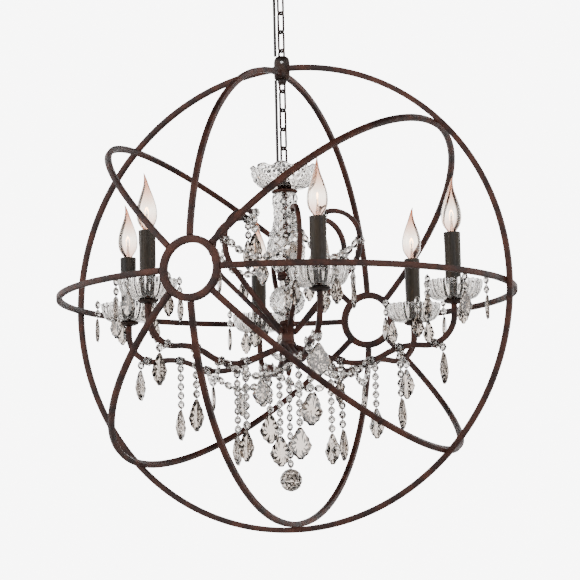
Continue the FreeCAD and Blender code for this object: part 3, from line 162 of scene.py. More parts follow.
# %% [markdown]
# ## Finishes
# Real iron is never one colour: rust brown lies in patches over dark forge scale. Every opaque finish
# but the glowing filament mixes two colours by noise in the part's own coordinates, and a small bump
# breaks the highlight.
# Glass takes its look from what it refracts, so it only gets a tint and a polish that varies a little.


# %% Finish helpers
def finish(name, colour, roughness, metallic=0.0):
    """A material whose shader has these plain values; returns its material, nodes, links and shader."""
    material = bpy.data.materials.new(name)
    material.use_nodes = True
    nodes, links = material.node_tree.nodes, material.node_tree.links
    shader = nodes["Principled BSDF"]
    shader.inputs["Base Color"].default_value = (*colour, 1)
    shader.inputs["Roughness"].default_value = roughness
    shader.inputs["Metallic"].default_value = metallic
    return material, nodes, links, shader


def mottled(name, dark, light, roughness, metallic=0.0, scale=40, bump=0.15, stretch=(1, 1, 1), shine=0.25):
    """Two colours mixed by noise on Object coordinates, with a fine bump and uneven roughness."""
    material, nodes, links, shader = finish(name, dark, roughness, metallic)
    shader.inputs["Specular IOR Level"].default_value = shine
    place = nodes.new("ShaderNodeTexCoord")
    mapping = nodes.new("ShaderNodeMapping")
    mapping.inputs["Scale"].default_value = stretch
    links.new(place.outputs["Object"], mapping.inputs["Vector"])
    patches = nodes.new("ShaderNodeTexNoise")
    patches.inputs["Scale"].default_value = scale
    patches.inputs["Detail"].default_value = 6
    links.new(mapping.outputs["Vector"], patches.inputs["Vector"])
    ramp = nodes.new("ShaderNodeValToRGB")
    ramp.color_ramp.elements[0].position = 0.38
    ramp.color_ramp.elements[0].color = (*dark, 1)
    ramp.color_ramp.elements[1].position = 0.66
    ramp.color_ramp.elements[1].color = (*light, 1)
    links.new(patches.outputs["Fac"], ramp.inputs["Fac"])
    links.new(ramp.outputs["Color"], shader.inputs["Base Color"])
    gloss = nodes.new("ShaderNodeMapRange")
    gloss.inputs["To Min"].default_value = roughness - 0.12
    gloss.inputs["To Max"].default_value = roughness + 0.12
    links.new(patches.outputs["Fac"], gloss.inputs["Value"])
    links.new(gloss.outputs["Result"], shader.inputs["Roughness"])
    grain = nodes.new("ShaderNodeTexNoise")
    grain.inputs["Scale"].default_value = scale * 14
    grain.inputs["Detail"].default_value = 3
    links.new(mapping.outputs["Vector"], grain.inputs["Vector"])
    relief = nodes.new("ShaderNodeBump")
    relief.inputs["Strength"].default_value = bump
    relief.inputs["Distance"].default_value = 0.0006
    links.new(grain.outputs["Fac"], relief.inputs["Height"])
    links.new(relief.outputs["Normal"], shader.inputs["Normal"])
    return material


def clear(name, tint, roughness=0.02, ior=1.5):
    """Glass of one tint, faint or smoky. Its polish is a little uneven: roughness follows slow noise."""
    material, nodes, links, shader = finish(name, tint, roughness)
    shader.inputs["Transmission Weight"].default_value = 1.0
    shader.inputs["IOR"].default_value = ior
    place = nodes.new("ShaderNodeTexCoord")
    haze = nodes.new("ShaderNodeTexNoise")
    haze.inputs["Scale"].default_value = 55
    polish = nodes.new("ShaderNodeMapRange")
    polish.inputs["To Min"].default_value = roughness * 0.4
    polish.inputs["To Max"].default_value = roughness * 1.6
    links.new(place.outputs["Object"], haze.inputs["Vector"])
    links.new(haze.outputs["Fac"], polish.inputs["Value"])
    links.new(polish.outputs["Result"], shader.inputs["Roughness"])
    return material


# %% The finishes
rust_iron = mottled("rust_iron", (0.014, 0.0046, 0.0034), (0.060, 0.0190, 0.0110), 0.58, 0.1, 34, 0.35)
dark_bronze = mottled("dark_bronze", (0.010, 0.005, 0.0035), (0.034, 0.015, 0.009), 0.45, 0.25, 60, 0.25)
chain_steel = mottled("chain_steel", (0.008, 0.005, 0.004), (0.026, 0.014, 0.010), 0.42, 0.3, 90, 0.30)
brass = mottled("brass", (0.28, 0.18, 0.08), (0.42, 0.28, 0.13), 0.35, 0.9, 70, 0.15)
steel = mottled("steel", (0.36, 0.36, 0.37), (0.50, 0.50, 0.50), 0.38, 0.85, 120, 0.10)
sleeve_dark, sleeve_light = (0.005, 0.0028, 0.0010), (0.026, 0.0155, 0.0065)
sleeve_black = mottled("sleeve", sleeve_dark, sleeve_light, 0.40, 0.0, 60, 0.3, (1, 1, 0.12), 0.20)
holder_black = mottled("lampholder", (0.012, 0.012, 0.012), (0.020, 0.020, 0.020), 0.40, 0.0, 80, 0.05)
cable_dark = mottled("cable", (0.012, 0.010, 0.009), (0.030, 0.026, 0.023), 0.45, 0.0, 150, 0.10, (1, 1, 0.3))
clear_glass = clear("clear_glass", (0.90, 0.87, 0.84), 0.012, 1.55)
crystal = clear("crystal", (0.82, 0.78, 0.74), 0.01, 1.65)
smoky_crystal = clear("smoky_crystal", (0.38, 0.33, 0.29), 0.03, 1.6)
filament, _, _, glow = finish("filament", (0.9, 0.6, 0.35), 0.4)
glow.inputs["Emission Color"].default_value = (1.0, 0.62, 0.32, 1)
glow.inputs["Emission Strength"].default_value = 14.0
plaster = mottled("floor", (0.84, 0.83, 0.82), (0.88, 0.87, 0.86), 0.80, 0.0, 3, 0.05)
floor_mesh.materials.append(plaster)
print(len(bpy.data.materials), "finishes")

# %% [markdown]
# ### Bulb glass
# A decor bulb is clear at its belly and turns amber towards its drawn tip. The colour follows the
# height in the part's own coordinates, so it stays with the glass.


# %% Bulb glass
def bulb_finish(low, high):
    """Clear thin glass whose tint runs with height from rose at its foot over clear to amber at its tip."""
    material, nodes, links, shader = finish("bulb_glass", (1, 1, 1), 0.02)
    shader.inputs["Transmission Weight"].default_value = 1.0
    shader.inputs["IOR"].default_value = 1.45
    place = nodes.new("ShaderNodeTexCoord")
    split = nodes.new("ShaderNodeSeparateXYZ")
    height = nodes.new("ShaderNodeMapRange")
    height.inputs["From Min"].default_value = low
    height.inputs["From Max"].default_value = high
    ramp = nodes.new("ShaderNodeValToRGB")
    ramp.color_ramp.elements[0].color = (0.80, 0.62, 0.55, 1)
    ramp.color_ramp.elements[0].position = 0.0
    ramp.color_ramp.elements[1].color = (0.50, 0.22, 0.12, 1)
    ramp.color_ramp.elements[1].position = 1.0
    middle = ramp.color_ramp.elements.new(0.35)
    middle.color = (0.99, 0.93, 0.86, 1)
    links.new(place.outputs["Object"], split.inputs["Vector"])
    links.new(split.outputs["Z"], height.inputs["Value"])
    links.new(height.outputs["Result"], ramp.inputs["Fac"])
    links.new(ramp.outputs["Color"], shader.inputs["Base Color"])
    return material


SLEEVE_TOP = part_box("candle_sleeves")[1].z
BULB_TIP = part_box("bulb_1")[1].z
amber_glass = bulb_finish(SLEEVE_TOP, BULB_TIP)

# %% [markdown]
# ## Surfaces from arrays
# Nearly every piece is one of two kinds. A turned piece is a profile carried round an upright axis.
# A bent bar or wire is a section carried along a path. Both are grids of points worked out at once.


# %% Grids, turned pieces and bars
CREASE = np.radians(38)


def grid_faces(rows, columns, close_rows=False):
    """Quads of a grid that closes across its columns; its rows may close too."""
    i = np.arange(rows if close_rows else rows - 1)[:, None]
    j = np.arange(columns)[None, :]
    after_i, after_j = (i + 1) % rows, (j + 1) % columns
    corners = [i * columns + j, i * columns + after_j, after_i * columns + after_j, after_i * columns + j]
    return np.stack(np.broadcast_arrays(*corners), axis=-1).reshape(-1, 4).tolist()


def shell(points, close_rows=False):
    """Points (rows, columns, 3) and the faces of their grid, the two ends closed by flat caps."""
    rows, columns = points.shape[:2]
    faces = grid_faces(rows, columns, close_rows)
    if not close_rows:
        faces.append(list(range(columns))[::-1])
        faces.append(list(range((rows - 1) * columns, rows * columns)))
    return points.reshape(-1, 3), faces


def flowing(rows, steps):
    """A smooth line through the rows: between two rows a cubic whose slopes come from their neighbours."""
    rows = np.array(rows, float)
    ends = np.concatenate([2 * rows[:1] - rows[1:2], rows, 2 * rows[-1:] - rows[-2:-1]])
    before, a, b, after = ends[:-3, None], ends[1:-2, None], ends[2:-1, None], ends[3:, None]
    t = np.linspace(0, 1, steps, endpoint=False)[None, :, None]
    slope_a, slope_b = (b - before) / 2, (after - a) / 2
    cubic = a + slope_a * t + (3 * (b - a) - 2 * slope_a - slope_b) * t**2
    cubic += (2 * (a - b) + slope_a + slope_b) * t**3
    return np.concatenate([cubic.reshape(-1, rows.shape[1]), rows[-1:]])


def flutes(count, depth):
    """Upright ribs: the radius grows by depth * cos(count t)."""
    return lambda turn, share: depth * np.cos(count * turn) + 0 * share


def diamonds(count, rows, depth):
    """Diamond cuts: two families of slanting grooves cross, depth * cos(count t) * cos(rows z)."""
    return lambda turn, share: depth * np.cos(count * turn) * np.cos(2 * np.pi * rows * share)


def turned(profile, columns=64, cuts=None, closed=False):
    """A profile of (radius, height, cut) rows round the Z axis: x = r cos t, y = r sin t.

    The radius is multiplied by 1 + cut * cuts(t, share of the height). A closed profile is a wall.
    """
    profile = np.array([(*row, 0.0)[:3] for row in profile], float)
    turn = np.linspace(0, 2 * np.pi, columns, endpoint=False)[None, :]
    span = np.ptp(profile[:, 1]) or 1.0
    share = ((profile[:, 1] - profile[:, 1].min()) / span)[:, None]
    radius = profile[:, :1] + 0 * turn
    if cuts:
        radius = radius * (1 + profile[:, 2:] * cuts(turn, share))
    height = profile[:, 1:2] + 0 * turn
    return shell(np.stack([radius * np.cos(turn), radius * np.sin(turn), height], axis=-1), closed)


def carried(path, section, normal, closed=False):
    """A section (a, b) carried along a path: point = path + a * side + b * up, side = normal x tangent."""
    path = np.asarray(path, float)
    normal = np.asarray(normal, float)
    if closed:
        tangent = np.roll(path, -1, axis=0) - np.roll(path, 1, axis=0)
    else:
        tangent = np.gradient(path, axis=0)
    tangent /= np.linalg.norm(tangent, axis=1, keepdims=True)
    side = np.cross(normal, tangent)
    side /= np.linalg.norm(side, axis=1, keepdims=True)
    upright = np.cross(tangent, side)
    points = path[:, None] + section[None, :, :1] * side[:, None] + section[None, :, 1:] * upright[:, None]
    return shell(points, closed)


def rounded_square(side, bevel):
    """Section of a square bar whose corners are eased by small arcs of three points."""
    half = side / 2 - bevel
    turn = np.radians([0, 45, 90])
    corners = []
    for quarter, (x, y) in enumerate([(half, -half), (half, half), (-half, half), (-half, -half)]):
        angle = turn + np.pi / 2 * (quarter - 1)
        corners.append(np.stack([x + bevel * np.cos(angle), y + bevel * np.sin(angle)], axis=1))
    return np.concatenate(corners)


def round_section(radius, count):
    """Round section of `count` points."""
    turn = np.linspace(0, 2 * np.pi, count, endpoint=False)
    return radius * np.stack([np.cos(turn), np.sin(turn)], axis=1)


def together(parts):
    """Several (points, faces) as one."""
    points, faces, start = [], [], 0
    for some, corners in parts:
        points.append(some)
        faces.extend([[start + c for c in face] for face in corners])
        start += len(some)
    return np.concatenate(points), faces


def turned_about(part, degrees, centre=(0, 0, 0)):
    """The same faces with the points turned about an upright axis, then moved."""
    angle = np.radians(degrees)
    matrix = np.array([[np.cos(angle), -np.sin(angle), 0], [np.sin(angle), np.cos(angle), 0], [0, 0, 1]])
    return part[0] @ matrix.T + np.asarray(centre, float), part[1]


def piece(name, part, body, material, nodes=(), smooth=True):
    """Makes the mesh object in its finish, riding on `body` and standing for its CAD nodes.

    A smooth piece still keeps a crisp edge where two faces meet at more than CREASE.
    """
    points, faces = part
    mesh = bpy.data.meshes.new(name)
    mesh.from_pydata(points.tolist(), [], faces)
    mesh.polygons.foreach_set("use_smooth", np.full(len(mesh.polygons), smooth))
    mesh.materials.append(material)
    mesh.update()
    if smooth:
        mesh.set_sharp_from_angle(angle=CREASE)
    made = bpy.data.objects.new(name, mesh)
    bpy.context.scene.collection.objects.link(made)
    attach(made, body)
    if nodes:
        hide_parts(*nodes)
    print(f"{name}: {len(points)} points, {len(faces)} faces")


def on_node(node, material):
    """Gives a CAD node's own mesh a finish."""
    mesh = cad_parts[node].data
    mesh.materials.clear()
    mesh.materials.append(material)


# %% [markdown]
# ## Hoops
# The outermost hoop is a full ring of square bar. The four inside it each stop at the hub rings, so
# they are pairs of half circles: point = R (cos t * -Y + sin t * d), where d is the hoop's own
# direction across the orb. A bevelled curve could draw them too, but a carried section can't twist,
# and easing its corners gives them a highlight, as on rolled bar.

# %% Hoops and hub rings
HOOP, BAR, BAR_EASE, HOOP_GAP = 0.400, 0.0095, 0.0012, 0.0003
INNER = HOOP - BAR - HOOP_GAP
RING, RING_WIDTH, RING_DEPTH = 0.0525, 0.012, 0.010
bar_section = rounded_square(BAR, BAR_EASE)
around = np.linspace(0, 2 * np.pi, 192, endpoint=False)[:, None]
outer_path = HOOP * (np.cos(around) * [1, 0, 0] + np.sin(around) * [0, 0, 1]) + np.array(ORB)
outer_bar = carried(outer_path, bar_section, (0, 1, 0), True)
piece("hoop_outer_bar", outer_bar, "cage", rust_iron, ["hoop_outer"])

start = np.arcsin((RING + HOOP_GAP) / INNER)
sweep = np.linspace(start, np.pi - start, 110)[:, None]
slant = np.sqrt(0.5)
for hoop, across in (
    ("upright", (0, 0, 1)),
    ("rising", (slant, 0, slant)),
    ("level", (1, 0, 0)),
    ("falling", (slant, 0, -slant)),
):
    across = np.array(across, float)
    halves = []
    for way in (1, -1):
        path = INNER * (np.cos(sweep) * [0, -1, 0] + np.sin(sweep) * across * way) + np.array(ORB)
        halves.append(carried(path, bar_section, np.cross([0, -1, 0], across * way)))
    piece(f"hoop_{hoop}_bar", together(halves), "cage", rust_iron, [f"hoop_{hoop}"])

RING_PLACE = np.sqrt(INNER**2 - RING**2)
ring_section = rounded_square(1.0, 0.12) * [RING_WIDTH, RING_DEPTH]
ring_path = (RING - RING_WIDTH / 2) * (np.cos(around) * [1, 0, 0] + np.sin(around) * [0, 0, 1])
rings = []
for way in (-1, 1):
    place = np.array(ORB) + [0, way * RING_PLACE, 0]
    rings.append(carried(ring_path + place, ring_section, (0, 1, 0), True))
piece("hub_ring_bars", together(rings), "cage", rust_iron, ["hub_rings"])

# %% [markdown]
# ## Chain
# Each link is round wire along a stadium: two half circles joined by straight sides. Links turn by a
# quarter from one to the next, and each top bend sits just above the bend it hangs in. A torus scaled
# to an oval would have its wire squashed out of round, so the wire is carried along a path instead.

# %% Chain links
WIRE, LINK_WIDTH, PITCH, PLAY = 0.004, 0.0166, 0.0337, 0.0003
CHAIN_TURN = 67.9


def link(bearing_height, quarter):
    """Oval link: half circles of radius w at both ends, its plane at CHAIN_TURN + 90 * quarter degrees."""
    bend = (LINK_WIDTH - WIRE) / 2
    over = (WIRE + PLAY) / 2
    top = bearing_height + over - bend
    foot = bearing_height - PITCH - over + bend
    arc = np.linspace(0, np.pi, 13)
    across = np.concatenate([bend * np.cos(arc), -bend * np.cos(arc)])
    height = np.concatenate([top + bend * np.sin(arc), foot - bend * np.sin(arc)])
    path = np.stack([across, np.zeros_like(across), height], axis=1)
    wire = carried(path, round_section(WIRE / 2, 12), (0, 1, 0), True)
    return turned_about(wire, CHAIN_TURN + 90 * quarter)


CEILING_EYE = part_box("upper_link_1")[1].z - WIRE - PLAY / 2
CAGE_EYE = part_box("lower_link_1")[1].z - WIRE - PLAY / 2
for chain, links_in_it, top_eye, first_quarter in (("upper", 3, CEILING_EYE, 0), ("lower", 4, CAGE_EYE, 1)):
    for n in range(links_in_it):
        body = f"{chain}_link_{n + 1}"
        part = link(top_eye - n * PITCH, n + first_quarter)
        piece(f"{body}_wire", part, body, chain_steel, [body])


# %% [markdown]
# ## Canopy, boss and eyes
# The canopy is spun sheet: one closed profile with an outside and an inside. The cage boss is a cast
# knuckle through which two hoops pass, held by a small clamp screw. It, the ceiling loop and the cap
# nut on the column each end in an eye of the chain's wire.

# %% Canopy, boss and eyes
bend = (LINK_WIDTH - WIRE) / 2


def eye(root, tip, quarter):
    """A wire eye whose legs start at height `root` and whose bend is at `tip`, both wire centres."""
    way = 1 if tip > root else -1
    arc = np.linspace(0, np.pi, 13)
    across = np.concatenate([[-bend], -bend * np.cos(arc), [bend]])
    height = np.concatenate([[root], tip - way * bend * (1 - np.sin(arc)), [root]])
    path = np.stack([across, np.zeros_like(across), height], axis=1)
    return turned_about(carried(path, round_section(WIRE / 2, 12), (0, 1, 0)), CHAIN_TURN + 90 * quarter)


low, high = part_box("ceiling_loop")
base_foot = high.z - 0.007
base = [(0.001, base_foot), (0.0112, base_foot), (0.0134, base_foot + 0.0012), (0.0140, base_foot + 0.0028)]
base += [(0.0140, high.z - 0.001), (0.0132, high.z), (0.001, high.z)]
form = together([turned(base, 48), eye(base_foot + 0.001, low.z + WIRE / 2, 1)])
piece("ceiling_loop_cast", form, "ceiling", dark_bronze, ["ceiling_loop"])

low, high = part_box("canopy")
outside = [(0.0058, 0), (0.024, 0), (0.030, 0.0015), (0.041, 0.0045), (0.052, 0.0085), (0.060, 0.014)]
outside += [(0.0635, 0.018), (0.065, 0.0215), (0.065, high.z - low.z)]
inside = [(0.0634, high.z - low.z), (0.0634, 0.0222), (0.0618, 0.0188), (0.0585, 0.015), (0.051, 0.010)]
inside += [(0.040, 0.006), (0.030, 0.0031), (0.0058, 0.0016)]
profile = [(r, low.z + z) for r, z in outside + inside]
piece("canopy_spun", turned(profile, 96, closed=True), "ceiling", dark_bronze, ["canopy"])

low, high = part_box("cage_boss")
HOOP_TOP = ORB.z + HOOP
boss = [(0.0010, -0.0280), (0.0058, -0.0280), (0.0074, -0.0262), (0.0078, -0.0240), (0.0078, -0.0206)]
boss += [(0.0092, -0.0202), (0.0118, -0.0190), (0.0136, -0.0165), (0.0140, -0.0130), (0.0140, -0.0060)]
boss += [(0.0133, -0.0040), (0.0133, 0.0030), (0.0140, 0.0050), (0.0140, 0.0110), (0.0134, 0.0150)]
boss += [(0.0118, 0.0185), (0.0098, 0.0205), (0.0060, 0.0218), (0.0010, 0.0220)]
casting = turned([(r, HOOP_TOP + z, 1.0) for r, z in boss], 72, flutes(6, 0.025))
eyes = [eye(HOOP_TOP + 0.020, high.z - WIRE / 2, 3), eye(HOOP_TOP - 0.026, low.z + WIRE / 2, 0)]
piece("cage_boss_cast", together([casting, *eyes]), "cage", dark_bronze, ["cage_boss"])
screw_rows = [(0.0002, 0), (0.0022, 0), (0.0026, 0.0005)]
screw_rows += [(0.0026, 0.0020), (0.0020, 0.0027), (0.0002, 0.0028)]
screw = turned(screw_rows, 24)
SCREW_TURN, SCREW_OUT, SCREW_UP = np.radians(22.9), 0.0132, 0.0085
outward = np.array([np.sin(SCREW_TURN), -np.cos(SCREW_TURN), 0])
axes = np.stack([[np.cos(SCREW_TURN), np.sin(SCREW_TURN), 0], [0, 0, 1], outward])
screw = (screw[0] @ axes + SCREW_OUT * outward + [0, 0, HOOP_TOP + SCREW_UP], screw[1])
piece("clamp_screw", screw, "cage", steel)

low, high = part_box("column_loop")
nut = [(0.0046, low.z), (0.0112, low.z), (0.0120, low.z + 0.0008), (0.0120, low.z + 0.0085)]
nut += [(0.0108, low.z + 0.0112), (0.0090, low.z + 0.0120), (0.0046, low.z + 0.0120)]
form = together([turned(nut, 48, closed=True), eye(low.z + 0.011, high.z - WIRE / 2, 5)])
piece("column_cap_nut", form, "chandelier", dark_bronze, ["column_loop"])

for node, material in (
    ("ceiling_bracket", steel),
    ("threaded_tube", steel),
    ("canopy_nut", dark_bronze),
    ("centre_rod", rust_iron),
    ("lampholders", holder_black),
):
    on_node(node, material)

# %% [markdown]
# ## Supply cable
# The dark cable runs beside each chain, held close to it. It is a NURBS curve led by the same route
# points as in the part's source, so its bends are smooth, with a round bevel of the cable's radius.

# %% Cables
CABLE, CABLE_OFFSET, CABLE_SWAY = 0.005, 0.011, 0.0016


def cable(name, node, sways, shares, body):
    """A smooth cable down the chain's side: the route sways a little at its shares of the height."""
    low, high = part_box(node)[0].z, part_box(node)[1].z
    bearing = np.radians(CHAIN_TURN + 135)
    out = np.array([np.cos(bearing), np.sin(bearing), 0])
    across = np.array([-np.sin(bearing), np.cos(bearing), 0])
    route = []
    for sway, share in zip(sways, shares):
        route.append(CABLE_OFFSET * out + CABLE_SWAY * sway * across + [0, 0, high + (low - high) * share])
    curve = bpy.data.curves.new(name, "CURVE")
    curve.dimensions = "3D"
    curve.bevel_depth = CABLE / 2
    curve.bevel_resolution = 4
    curve.use_fill_caps = True
    spline = curve.splines.new("NURBS")
    spline.points.add(len(route) - 1)
    spline.points.foreach_set("co", np.array([(*p, 1.0) for p in route]).ravel())
    spline.order_u = 3
    spline.use_endpoint_u = True
    spline.resolution_u = 16
    curve.materials.append(cable_dark)
    made = bpy.data.objects.new(name, curve)
    bpy.context.scene.collection.objects.link(made)
    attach(made, body)
    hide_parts(node)


cable("upper_cable", "supply_cable_upper", (0, 1.0, -0.8, 0), (0, 0.34, 0.70, 1), "ceiling")
cable("lower_cable", "supply_cable_lower", (0, -1.0, 0.9, 0), (0, 0.31, 0.67, 1), "cage")

# %% [markdown]
# ## Column
# The column is a stack on a rod: a scalloped glass bowl, a vase, a ball and a small dish, with rust
# brown metal between. The crown bowl, vase and ball are diamond cut and the small dish is ribbed, so a
# smooth turned shape is multiplied by a ripple. Without these cuts glass shows only its edges.

# %% Glass column
CROWN_WALL, BOTTOM_WALL = 0.0032, 0.0025


def glass_cup(node, rows, wall, columns, cuts, dip, lobes):
    """A cup whose wall follows the rows (radius, share, cut), its rim dipping between `lobes` scallops."""
    low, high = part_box(node)
    rise = high.z - low.z
    outside = flowing(rows, 4)
    inside = outside[::-1] * [1, 1, 0.2] - [wall, 0, 0]
    inside = inside[(inside[:, 1] > wall / rise) & (inside[:, 0] > 0.008)]
    floor = [[0.0052, wall / rise, 0.0], [0.0052, 0.0, 0.0]]
    profile = np.concatenate([outside, inside, floor])
    profile[:, 1] = low.z + rise * profile[:, 1]
    points, faces = turned(profile, columns, cuts, closed=True)
    share = np.clip((points[:, 2] - low.z) / rise, 0, 1)
    turn = np.arctan2(points[:, 1], points[:, 0])
    points[:, 2] -= rise * dip * share**4 * (1 - np.cos(lobes * turn)) / 2
    return points, faces


crown_rows = [
    (0.0142, 0.0, 0.0), (0.0290, 0.04, 0.2), (0.0400, 0.13, 0.6), (0.0485, 0.28, 1.0),
    (0.0540, 0.48, 1.0), (0.0562, 0.68, 1.0), (0.0562, 0.86, 1.2), (0.0570, 1.0, 1.5),
]
crown = glass_cup("crown_bowl", crown_rows, CROWN_WALL, 200, diamonds(20, 2.5, 0.030), 0.15, 10)
piece("crown_bowl_glass", crown, "chandelier", clear_glass, ["crown_bowl"])


def stacked(node, rows, material, cuts=None, columns=72, bore=0.0049, steps=4):
    """A turned piece between its node's two heights: rows of (radius, share, cut), bored for the rod."""
    low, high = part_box(node)
    outside = flowing([(*row, 0.0)[:3] for row in rows], steps)
    outside[:, 1] = low.z + (high.z - low.z) * outside[:, 1]
    profile = np.concatenate([outside, [[bore, high.z, 0.0], [bore, low.z, 0.0]]])
    form = turned(profile, columns, cuts, closed=True)
    piece(f"{node}_form", form, "chandelier", material, [node])


vase_rows = [
    (0.0165, 0.0, 0.0), (0.0190, 0.02, 0.0), (0.0240, 0.07, 0.7), (0.0292, 0.14, 1.0), (0.0322, 0.22, 1.0),
    (0.0328, 0.29, 1.0), (0.0312, 0.37, 1.0), (0.0278, 0.46, 1.0), (0.0238, 0.55, 1.0), (0.0208, 0.63, 1.0),
    (0.0197, 0.71, 1.0), (0.0198, 0.79, 1.0), (0.0210, 0.87, 1.0), (0.0222, 0.94, 0.5), (0.0210, 0.98, 0.0),
    (0.0180, 1.0, 0.0),
]
vase_cuts = diamonds(9, 8, 0.055)
stacked("column_vase", vase_rows, clear_glass, vase_cuts, 108, 0.0085, 6)
ball_rows = [(0.0118, 0.0, 0.0), (0.0130, 0.05, 0.0)]
ball_rows += [(0.0302 * np.sin(t), 0.5 - 0.40 * np.cos(t), 1.0) for t in np.linspace(0.44, np.pi - 0.44, 11)]
ball_rows += [(0.0130, 0.95, 0.0), (0.0118, 1.0, 0.0)]
stacked("column_ball", ball_rows, clear_glass, diamonds(9, 5, 0.05), 108, 0.0075, 5)
plate_rows = [(0.0158, 0.0), (0.0205, 0.12), (0.0225, 0.35), (0.0228, 0.55), (0.0215, 0.8), (0.0182, 1.0)]
stacked("crown_plate", plate_rows, rust_iron)
collar_rows = [(0.0115, 0.0), (0.0150, 0.12), (0.0166, 0.3), (0.0160, 0.44), (0.0146, 0.5), (0.0162, 0.58)]
collar_rows += [(0.0166, 0.75), (0.0150, 0.92), (0.0140, 1.0)]
stacked("column_collar", collar_rows, rust_iron)
disc_rows = [(0.0110, 0.0), (0.0138, 0.25), (0.0147, 0.5), (0.0138, 0.72), (0.0118, 1.0)]
stacked("column_disc", disc_rows, rust_iron)
hub_rows = [(0.0098, 0.0), (0.0128, 0.05), (0.0143, 0.14), (0.0143, 0.38), (0.0128, 0.45), (0.0112, 0.5)]
hub_rows += [(0.0112, 1.0)]
stacked("arm_hub", hub_rows, rust_iron)
finial_rows = [(0.0020, 0.0), (0.0038, 0.1), (0.0050, 0.3), (0.0066, 0.6), (0.0080, 0.8), (0.0082, 0.92)]
finial_rows += [(0.0074, 1.0)]
stacked("finial", finial_rows, rust_iron, bore=0.0012)
bottom_rows = [(0.0105, 0.0, 0.0), (0.0175, 0.10, 0.5), (0.0235, 0.35, 1.0), (0.0278, 0.75, 1.2)]
bottom_rows += [(0.0292, 1.0, 1.4)]
bottom = glass_cup("bottom_dish", bottom_rows, BOTTOM_WALL, 96, flutes(12, 0.035), 0.12, 12)
piece("bottom_dish_glass", bottom, "chandelier", clear_glass, ["bottom_dish"])

# %% [markdown]
# ## Arms and scrolls
# Each arm is a square bar bent into an S: a straight run, a sag, a low crest and a rise that ends
# upright under the candle. Each scroll rises from the hub and curls back. A free spline would look
# limp: a smith bends bar round formers, so a path is made of straight runs and arcs that share their
# tangents. Six copies stand round the column.


# %% Bars along tangent arcs
def bend_path(start, heading, steps):
    """Points in the XZ plane of (None, length) runs and (radius, degrees) arcs, each tangent to the last."""
    x, z = start
    angle = np.radians(heading)
    rows = [(x, 0.0, z)]
    for radius, amount in steps:
        if radius is None:
            part = np.linspace(0, amount, 7)[1:, None]
            run = np.array([x, 0, z]) + part * [np.cos(angle), 0, np.sin(angle)]
        else:
            way = np.sign(amount)
            part = angle + np.radians(amount) * np.linspace(0, 1, max(5, int(abs(amount) / 3)))[1:]
            centre = np.array([x - way * radius * np.sin(angle), 0, z + way * radius * np.cos(angle)])
            run = centre + way * radius * np.stack([np.sin(part), 0 * part, -np.cos(part)], axis=1)
            angle += np.radians(amount)
        rows.extend(map(tuple, run))
        x, z = rows[-1][0], rows[-1][2]
    return np.array(rows)


ARMS, FIRST, REACH, SEAT = 6, 33.0, 0.297, 0.0003
ARM_BAR, SCROLL_BAR, ARM_EASE = 0.009, 0.008, 0.0014
HUB_RADIUS, NECK_RADIUS, ARM_RISE, SCROLL_RISE = 0.014, 0.011, 0.013, 0.026
bearings = FIRST - 90 + 60 * np.arange(ARMS)
HUB_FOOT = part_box("arm_hub")[0].z
ARM_LEVEL = HUB_FOOT + ARM_RISE
ARM_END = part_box("candle_cups")[0].z


def round_column(part):
    """The part repeated at every arm's bearing."""
    return together([turned_about(part, b) for b in bearings])


SLOPE = -20.0
hub_face = (HUB_RADIUS + SEAT + ARM_BAR / 2 * abs(np.sin(np.radians(SLOPE))), ARM_LEVEL)
bends = [(0.100, 48), (0.110, -36), (0.050, 98)]
bends_end = bend_path(hub_face, SLOPE, bends)[-1]
first_run = (REACH - bends_end[0]) / np.cos(np.radians(SLOPE))
rise_end = bend_path(hub_face, SLOPE, [(None, first_run), *bends])[-1]
arm_path = bend_path(hub_face, SLOPE, [(None, first_run), *bends, (None, ARM_END - SEAT - rise_end[2])])
arm_bar = carried(arm_path, rounded_square(ARM_BAR, ARM_EASE), (0, 1, 0))
piece("arms_bar", round_column(arm_bar), "chandelier", rust_iron, ["arms"])

tilt = np.radians(45)
neck_face = (NECK_RADIUS + SEAT + SCROLL_BAR / 2 * np.sin(tilt), ARM_LEVEL + SCROLL_RISE)
SCROLL_REACH, BEND, BELLY, CURL = 0.134, 0.060, 0.010, 0.050
scroll_run = (SCROLL_REACH - BEND * (1 - np.sin(tilt)) - neck_face[0]) / np.cos(tilt)
scroll_path = bend_path(neck_face, 45, [(None, scroll_run), (BEND, 45), (None, BELLY), (CURL, 110)])
scroll_bar = carried(scroll_path, rounded_square(SCROLL_BAR, ARM_EASE), (0, 1, 0))
piece("scrolls_bar", round_column(scroll_bar), "chandelier", rust_iron, ["scrolls"])
belly_height = scroll_path[:, 2].max() - CURL - BELLY / 2

# %% [markdown]
# ## Candles
# A metal cup, a ribbed glass dish, a dark sleeve and a flame bulb stand on each arm's end. The dish
# is a turned cup with many ribs. Wax has run down the sleeve from its top edge: ridges round the sleeve,
# max(0, sin(7 t + 1.5 sin 2 t)), each reach down their own length. The bulb is a thin shell, bent at its tip.

# %% Candle cups, dishes and sleeves
candles = [(REACH * np.cos(np.radians(b)), REACH * np.sin(np.radians(b))) for b in bearings]


def at_candles(part):
    """The part, drawn round the Z axis, carried out to every candle."""
    return together([turned_about(part, b, (*c, 0)) for b, c in zip(bearings, candles)])


low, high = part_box("candle_cups")
cup_rows = [(0.0046, 0), (0.0075, 0), (0.0125, 0.0010), (0.0160, 0.0028), (0.0172, 0.0044)]
cup_rows += [(0.0172, high.z - low.z - 0.0005), (0.0160, high.z - low.z), (0.0046, high.z - low.z)]
cup = turned([(r, low.z + z) for r, z in cup_rows], 48, closed=True)
piece("candle_cups_metal", at_candles(cup), "chandelier", dark_bronze, ["candle_cups"])

